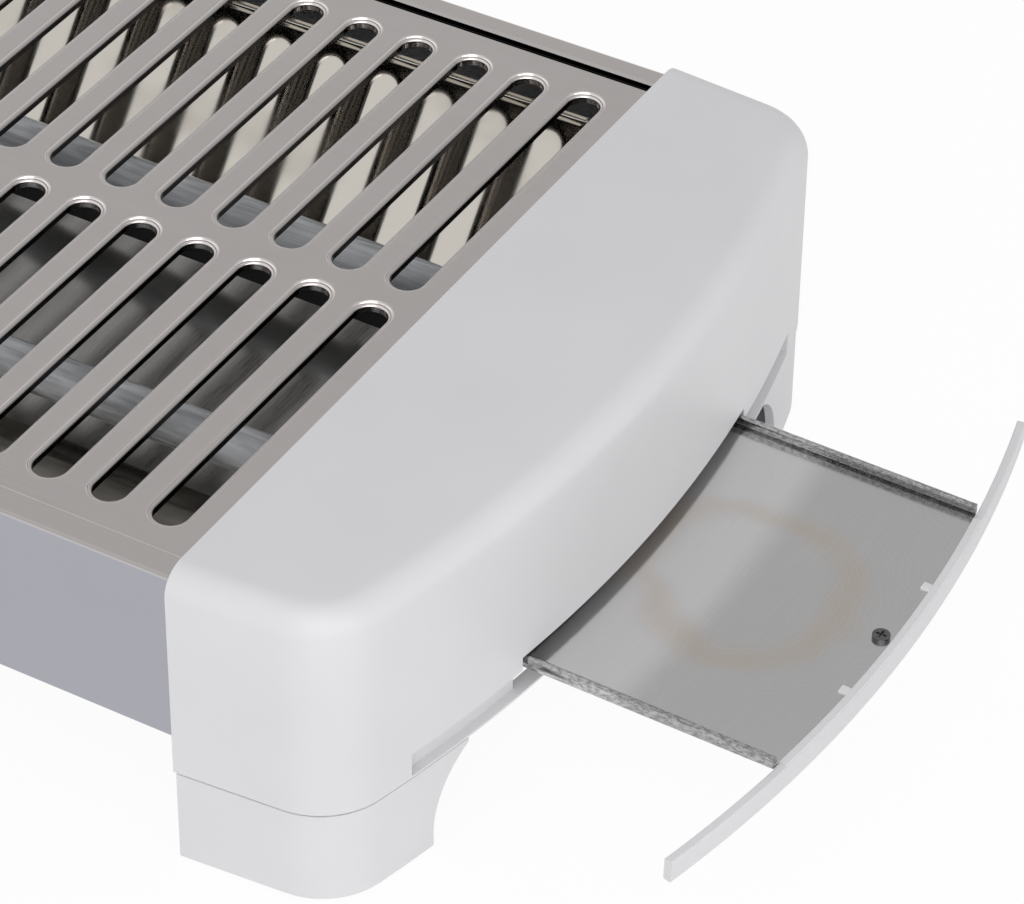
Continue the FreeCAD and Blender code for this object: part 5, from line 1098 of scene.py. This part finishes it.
def make_tray_front():
    """Bowed grip with a rib on the tray's floor, a flange below it and two small hooks."""
    size = sizes()
    outer, thick, tall = CAP_FACE_RADIUS, BAR_THICK, 6.0
    surface = Surface()
    surface.tube(bowed_bar(outer - thick, outer, BAR_TOP - tall, BAR_TOP, 87.2, size.bar_round))
    surface.tube(bowed_bar(outer - thick, outer - 0.2, BAR_TOP - 0.5, 0.35, 48.5, 0.2))
    surface.tube(bowed_bar(outer - thick - 8.0, outer - thick + 0.3, -2.6, -0.62, 46.7, 0.3))
    for sign in (-1, 1):
        y = 20.4 * sign
        x = float(bar_back(y)) + 0.2
        outline = rounded_outline([(y - 1.2, -0.7), (y + 1.2, -0.7), (y + 1.2, 0.8), (y - 1.2, 0.8)],
                                  [0.0, 0.0, 0.3, 0.3], steps=4)
        surface.tube(extruded(outline, x - 2.05, x))
    surface.moved(tray_to_world)
    make_piece("tray_front_moulding", surface, "tray", MATERIALS["plastic"],
               ("tray_front_bar",), sharp=40.0)
    smooth_copy("tray_front_screw", "tray", MATERIALS["black_screw"])


# Heating chamber

def make_tubes():
    """Milky tubes: a ring-shaped section turned round each tube's axis."""
    radius = (TUBE_HIGH[2] - TUBE_LOW[2]) / 2
    y, z = (TUBE_LOW[1] + TUBE_HIGH[1]) / 2, (TUBE_LOW[2] + TUBE_HIGH[2]) / 2
    half = (TUBE_HIGH[0] - TUBE_LOW[0]) / 2
    x = (TUBE_HIGH[0] + TUBE_LOW[0]) / 2
    profile = rounded_outline([(-half, radius), (half, radius), (half, radius - 1.1), (-half, radius - 1.1)],
                              [0.3] * 4, steps=2)
    for side, sign in (("near", -1), ("far", 1)):
        points = turned(profile, (x, y * sign, z), (1, 0, 0), 40)
        make_piece("quartz_tube_%s_glass" % side, Surface().ring(points), "housing",
                   MATERIALS["quartz"], ("quartz_tube_%s" % side,))


def make_reflectors():
    """Sloping polished sheet with a ledge and an upstand, folded from one strip."""
    thin, ledge, upstand = (REFLECTOR_FOLDS[part] for part in ("thin", "ledge", "upstand"))
    end_y, top = REFLECTOR_HIGH[1], REFLECTOR_HIGH[2]
    outer_y, outer_z = end_y - ledge, top - upstand
    inner_y, inner_z = REFLECTOR_LOW[1], REFLECTOR_LOW[2] + thin
    corners = [(inner_y, inner_z), (outer_y, outer_z), (end_y - thin, outer_z), (end_y - thin, top),
               (end_y, top), (end_y, outer_z - thin), (outer_y + 0.18, outer_z - thin),
               (inner_y + 0.18, inner_z - thin)]
    outline = rounded_outline(corners, [0.1, 1.2, 0.8, 0.1, 0.1, 1.2, 0.6, 0.1], steps=3)
    for side, change in (("far", unchanged), ("near", mirrored_y)):
        points = change(extruded(outline, REFLECTOR_LOW[0], REFLECTOR_HIGH[0], 40))
        make_piece("side_reflector_%s_sheet" % side, Surface().tube(points), "housing",
                   MATERIALS["reflector"], ("side_reflector_%s" % side,))


PLAIN_NODES = {
    # painted shade: the stiffener is given the near-black finish
    "blackened": ("blackened_steel", ["grille_stiffener"]),
    "plated": ("plated_steel", ["base_plate", "tray_rail_near", "tray_rail_far", "element_bracket_tray_end",
                                "element_bracket_control_end"]),
    "coil": ("heating_wire", ["heating_coil_near", "heating_coil_far"]),
}
ROUND_NODES = {
    "ceramic": ("ceramic", ["tube_insulators"]),
    "brass": ("brass_parts", ["tube_terminals", "switch_terminals"]),
    "screw": ("screw_steel", ["base_screws", "cap_screws", "foot_screws"]),
    "block": ("block_plastic", ["terminal_block"]),
    "fuse": ("fuse_metal", ["thermal_fuse"]),
    "sleeve": ("lead_sleeve", ["lead_switch_to_near_tube", "lead_block_to_switch", "lead_block_to_far_tube",
                               "lead_between_tubes"]),
    "earth": ("earth_sleeve", ["earth_lead"]),
}


def dress_nodes():
    """Finishes of the pieces whose own shape is right; round ones are joined so they shade smoothly."""
    for material, (_, nodes) in PLAIN_NODES.items():
        for node in nodes:
            mesh = frame["nodes"][node].data
            mesh.materials.clear()
            mesh.materials.append(MATERIALS[material])
    for material, (slot, nodes) in ROUND_NODES.items():
        for node in nodes:
            smooth_copy(node, "housing", MATERIALS[material])


# Control end

def make_switch():
    """Finishes of the rocker switch and the cord's bush, whose own shapes are right."""
    smooth_copy("rocker_switch_body", "housing", MATERIALS["black"])
    smooth_copy("switch_rocker", "rocker", MATERIALS["rocker"])
    smooth_copy("pilot_lamp", "housing", MATERIALS["lamp"])
    smooth_copy("cable_inlet_bush", "housing", MATERIALS["black"])
    make_switch_marks()


def make_switch_marks():
    """A bar on one half of the rocker and a ring on the other, a hair above its faces."""
    pivot = next(joint for joint in frame["joints"] if joint["type"] == "hinge")
    centre = np.array(pivot["pos_m"]) / MM
    tilt, face, proud, sunk, apart = math.radians(7.0), 4.5, 0.05, -0.05, 6.2
    surface = Surface()
    surface.box((sunk, apart - 0.45, -2.6), (proud, apart + 0.45, 2.6))
    profile = [(sunk, 1.7), (proud, 1.7), (proud, 2.5), (sunk, 2.5)]
    surface.ring(turned(profile, (0.0, -apart, 0.0), (1, 0, 0), 40))

    def on_rocker(points):
        x = face + np.abs(points[:, 1]) * math.tan(tilt) + points[:, 0]
        y, z = points[:, 1], points[:, 2]
        cos, sin = math.cos(math.pi - tilt), math.sin(math.pi - tilt)
        return np.stack([x * cos - y * sin, x * sin + y * cos, z], axis=1) + centre

    surface.moved(on_rocker)
    make_piece("switch_marks", surface, "rocker", MATERIALS["mark"], sharp=40.0)


# Studio: the camera's place and every lamp's power are fitted to the photograph

WHITE = (1.0, 1.0, 1.0, 1.0)
CAMERA = {
    "place_mm": (537.42, -706.83, 705.77),
    "azimuth": 30.23,
    "elevation": 39.26,
    "roll": -0.47,
    "lens": 160.11,
    "shift": (0.01773, 0.0220),
}


def make_camera():
    """The photograph's point of view, found from the toaster's own parallel edges."""
    data = bpy.data.cameras.new("photo_view")
    data.sensor_width = 36.0
    data.lens = CAMERA["lens"]
    data.shift_x, data.shift_y = CAMERA["shift"]
    data.clip_start, data.clip_end = 0.05, 20.0
    camera = bpy.data.objects.new("photo_view", data)
    bpy.context.scene.collection.objects.link(camera)
    azimuth, elevation = math.radians(CAMERA["azimuth"]), math.radians(CAMERA["elevation"])
    ahead = Vector((-math.sin(azimuth) * math.cos(elevation), math.cos(azimuth) * math.cos(elevation),
                    -math.sin(elevation)))
    right = ahead.cross(Vector((0, 0, 1))).normalized()
    up = right.cross(ahead)
    turn = Matrix((right, up, -ahead)).transposed()
    roll = Matrix.Rotation(math.radians(CAMERA["roll"]), 3, ahead)
    camera.matrix_world = Matrix.Translation(Vector(CAMERA["place_mm"]) * MM) @ (roll @ turn).to_4x4()
    bpy.context.scene.camera = camera


# Grey of the room that metal mirrors, by the height of the direction: 0 is the horizon, 1 straight up
ROOM = ((0.0, 1.0), (0.22, 0.9), (0.6, 0.57), (0.9, 0.7))


def white_to_camera(tree, shaded, lit):
    """Mixes two shaders: the second is what the camera, reflections and clear parts see."""
    rays = add(tree, "LightPath").outputs
    seen = add(tree, "Math", {"operation": "MAXIMUM"}, {0: rays["Is Camera Ray"], 1: rays["Is Glossy Ray"]})
    seen = add(tree, "Math", {"operation": "MAXIMUM"}, {0: seen, 1: rays["Is Transmission Ray"]})
    return add(tree, "MixShader", links={0: seen, 1: shaded, 2: lit})


def make_world():
    """Soft white light on the object; the camera sees white, and metal mirrors the room's greys."""
    world = bpy.data.worlds.new("plain_studio")
    world.use_nodes = True
    tree = world.node_tree
    tree.nodes.clear()
    soft = add(tree, "Background", {"Color": WHITE, "Strength": 0.575})
    direction = add(tree, "TexCoord").outputs["Generated"]
    height = add(tree, "SeparateXYZ", links={0: direction}).outputs["Z"]
    room = add(tree, "ValToRGB", links={"Fac": height})
    stops = room.color_ramp.elements
    for number, (place, grey) in enumerate(ROOM):
        stop = stops[number] if number < 2 else stops.new(place)
        stop.position = place
        stop.color = (grey, grey, grey, 1.0)
    camera = add(tree, "LightPath").outputs["Is Camera Ray"]
    seen = add(tree, "Mix", {"data_type": "RGBA", 7: WHITE}, {0: camera, 6: room}).outputs[2]
    shown = add(tree, "Background", {"Strength": 1.0}, {"Color": seen})
    add(tree, "OutputWorld", links={"Surface": white_to_camera(tree, soft, shown)})
    bpy.context.scene.world = world


def make_floor():
    """White sheet under the toaster, 12 m square; what the camera sees of it is lifted so far
    towards white that only a trace of the shadow is left, as in the photograph."""
    mesh = bpy.data.meshes.new("studio_floor")
    half = 6.0
    corners = [(-half, -half, 0), (half, -half, 0), (half, half, 0), (-half, half, 0)]
    mesh.from_pydata(corners, [], [(0, 1, 2, 3)])
    floor = bpy.data.objects.new("studio_floor", mesh)
    bpy.context.scene.collection.objects.link(floor)
    material = bpy.data.materials.new("white_paper_floor")
    material.use_nodes = True
    tree = material.node_tree
    tree.nodes.clear()
    paper = add(tree, "BsdfDiffuse", {"Color": (0.93, 0.93, 0.93, 1.0)})
    glow = add(tree, "Emission", {"Color": WHITE, "Strength": 1.0})
    lifted = add(tree, "MixShader", {0: 0.95}, {1: paper, 2: glow})
    add(tree, "OutputMaterial", links={"Surface": white_to_camera(tree, paper, lifted)})
    mesh.materials.append(material)


# Places, aims and sizes in metres, powers in watts
LAMPS = {
    "top_softbox": {"place": (0.34, -0.85, 1.43), "aim": (0.0, 0.0, 0.05), "size": (1.1, 1.1),
                    "power": 4.2},
    "front_softbox": {"place": (1.3, -1.2, 0.75), "aim": (0.05, 0.0, 0.05), "size": (2.2, 1.8),
                      "power": 15.0},
}


def make_lamps():
    """Two wide, dim soft boxes, one overhead in front and one beyond the tray's end."""
    for name, lamp in LAMPS.items():
        data = bpy.data.lights.new(name, "AREA")
        data.shape = "RECTANGLE"
        data.size, data.size_y = lamp["size"]
        data.energy = lamp["power"]
        item = bpy.data.objects.new(name, data)
        bpy.context.scene.collection.objects.link(item)
        item.location = lamp["place"]
        ahead = Vector(lamp["aim"]) - Vector(lamp["place"])
        item.rotation_euler = ahead.to_track_quat("-Z", "Y").to_euler()


# Operators, panel and registration

class ToasterStage(bpy.types.Operator):
    """Set the camera, the white floor and world, and the two soft lamps"""

    bl_idname = "toaster.stage"
    bl_label = "Studio"

    def execute(self, context):
        make_camera()
        make_world()
        make_floor()
        make_lamps()
        context.scene.view_settings.view_transform = "Standard"
        return {"FINISHED"}


class ToasterFinishes(bpy.types.Operator):
    """Make every material"""

    bl_idname = "toaster.finishes"
    bl_label = "Finishes"

    def execute(self, context):
        make_materials()
        return {"FINISHED"}


class ToasterCasing(bpy.types.Operator):
    """Make the casing's folded sides and the slotted grille"""

    bl_idname = "toaster.casing"
    bl_label = "Casing and grille"

    def execute(self, context):
        make_casing()
        make_grille()
        return {"FINISHED"}


class ToasterCaps(bpy.types.Operator):
    """Make the two moulded end caps"""

    bl_idname = "toaster.caps"
    bl_label = "End caps"

    def execute(self, context):
        make_caps()
        return {"FINISHED"}


class ToasterFeet(bpy.types.Operator):
    """Make the four feet and dress their pads"""

    bl_idname = "toaster.feet"
    bl_label = "Feet"

    def execute(self, context):
        make_feet()
        return {"FINISHED"}


class ToasterTray(bpy.types.Operator):
    """Make the crumb tray and its bowed front"""

    bl_idname = "toaster.tray"
    bl_label = "Crumb tray"

    def execute(self, context):
        make_tray()
        make_tray_front()
        return {"FINISHED"}


class ToasterHeating(bpy.types.Operator):
    """Make the quartz tubes and reflectors, and dress what lies round them"""

    bl_idname = "toaster.heating"
    bl_label = "Heating chamber"

    def execute(self, context):
        make_tubes()
        make_reflectors()
        dress_nodes()
        return {"FINISHED"}


class ToasterControl(bpy.types.Operator):
    """Dress the rocker switch and the cord's bush, and mark the rocker"""

    bl_idname = "toaster.control"
    bl_label = "Control end"

    def execute(self, context):
        make_switch()
        return {"FINISHED"}


OPERATORS = (ToasterStage, ToasterFinishes, ToasterCasing, ToasterCaps, ToasterFeet, ToasterTray,
             ToasterHeating, ToasterControl)


class ToasterPanel(bpy.types.Panel):
    """Lists the toaster's sizes, colours and building steps"""

    bl_idname = "VIEW3D_PT_toaster"
    bl_label = "Flat toaster"
    bl_space_type = "VIEW_3D"
    bl_region_type = "UI"
    bl_category = "Toaster"

    def draw(self, context):
        layout = self.layout
        for group in (context.scene.toaster_sizes, context.scene.toaster_colours):
            column = layout.column()
            for name in group.__annotations__:
                column.prop(group, name)
        for operator in OPERATORS:
            layout.operator(operator.bl_idname)


CLASSES = (ToasterSizes, ToasterColours) + OPERATORS + (ToasterPanel,)


def register():
    for item in CLASSES:
        bpy.utils.register_class(item)
    bpy.types.Scene.toaster_sizes = PointerProperty(type=ToasterSizes)
    bpy.types.Scene.toaster_colours = PointerProperty(type=ToasterColours)


def unregister():
    del bpy.types.Scene.toaster_colours
    del bpy.types.Scene.toaster_sizes
    for item in reversed(CLASSES):
        bpy.utils.unregister_class(item)


def main():
    register()
    bpy.ops.toaster.stage()
    bpy.ops.toaster.finishes()
    bpy.ops.toaster.casing()
    bpy.ops.toaster.caps()
    bpy.ops.toaster.feet()
    bpy.ops.toaster.tray()
    bpy.ops.toaster.heating()
    bpy.ops.toaster.control()
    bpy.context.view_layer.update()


if __name__ == "__main__":
    main()
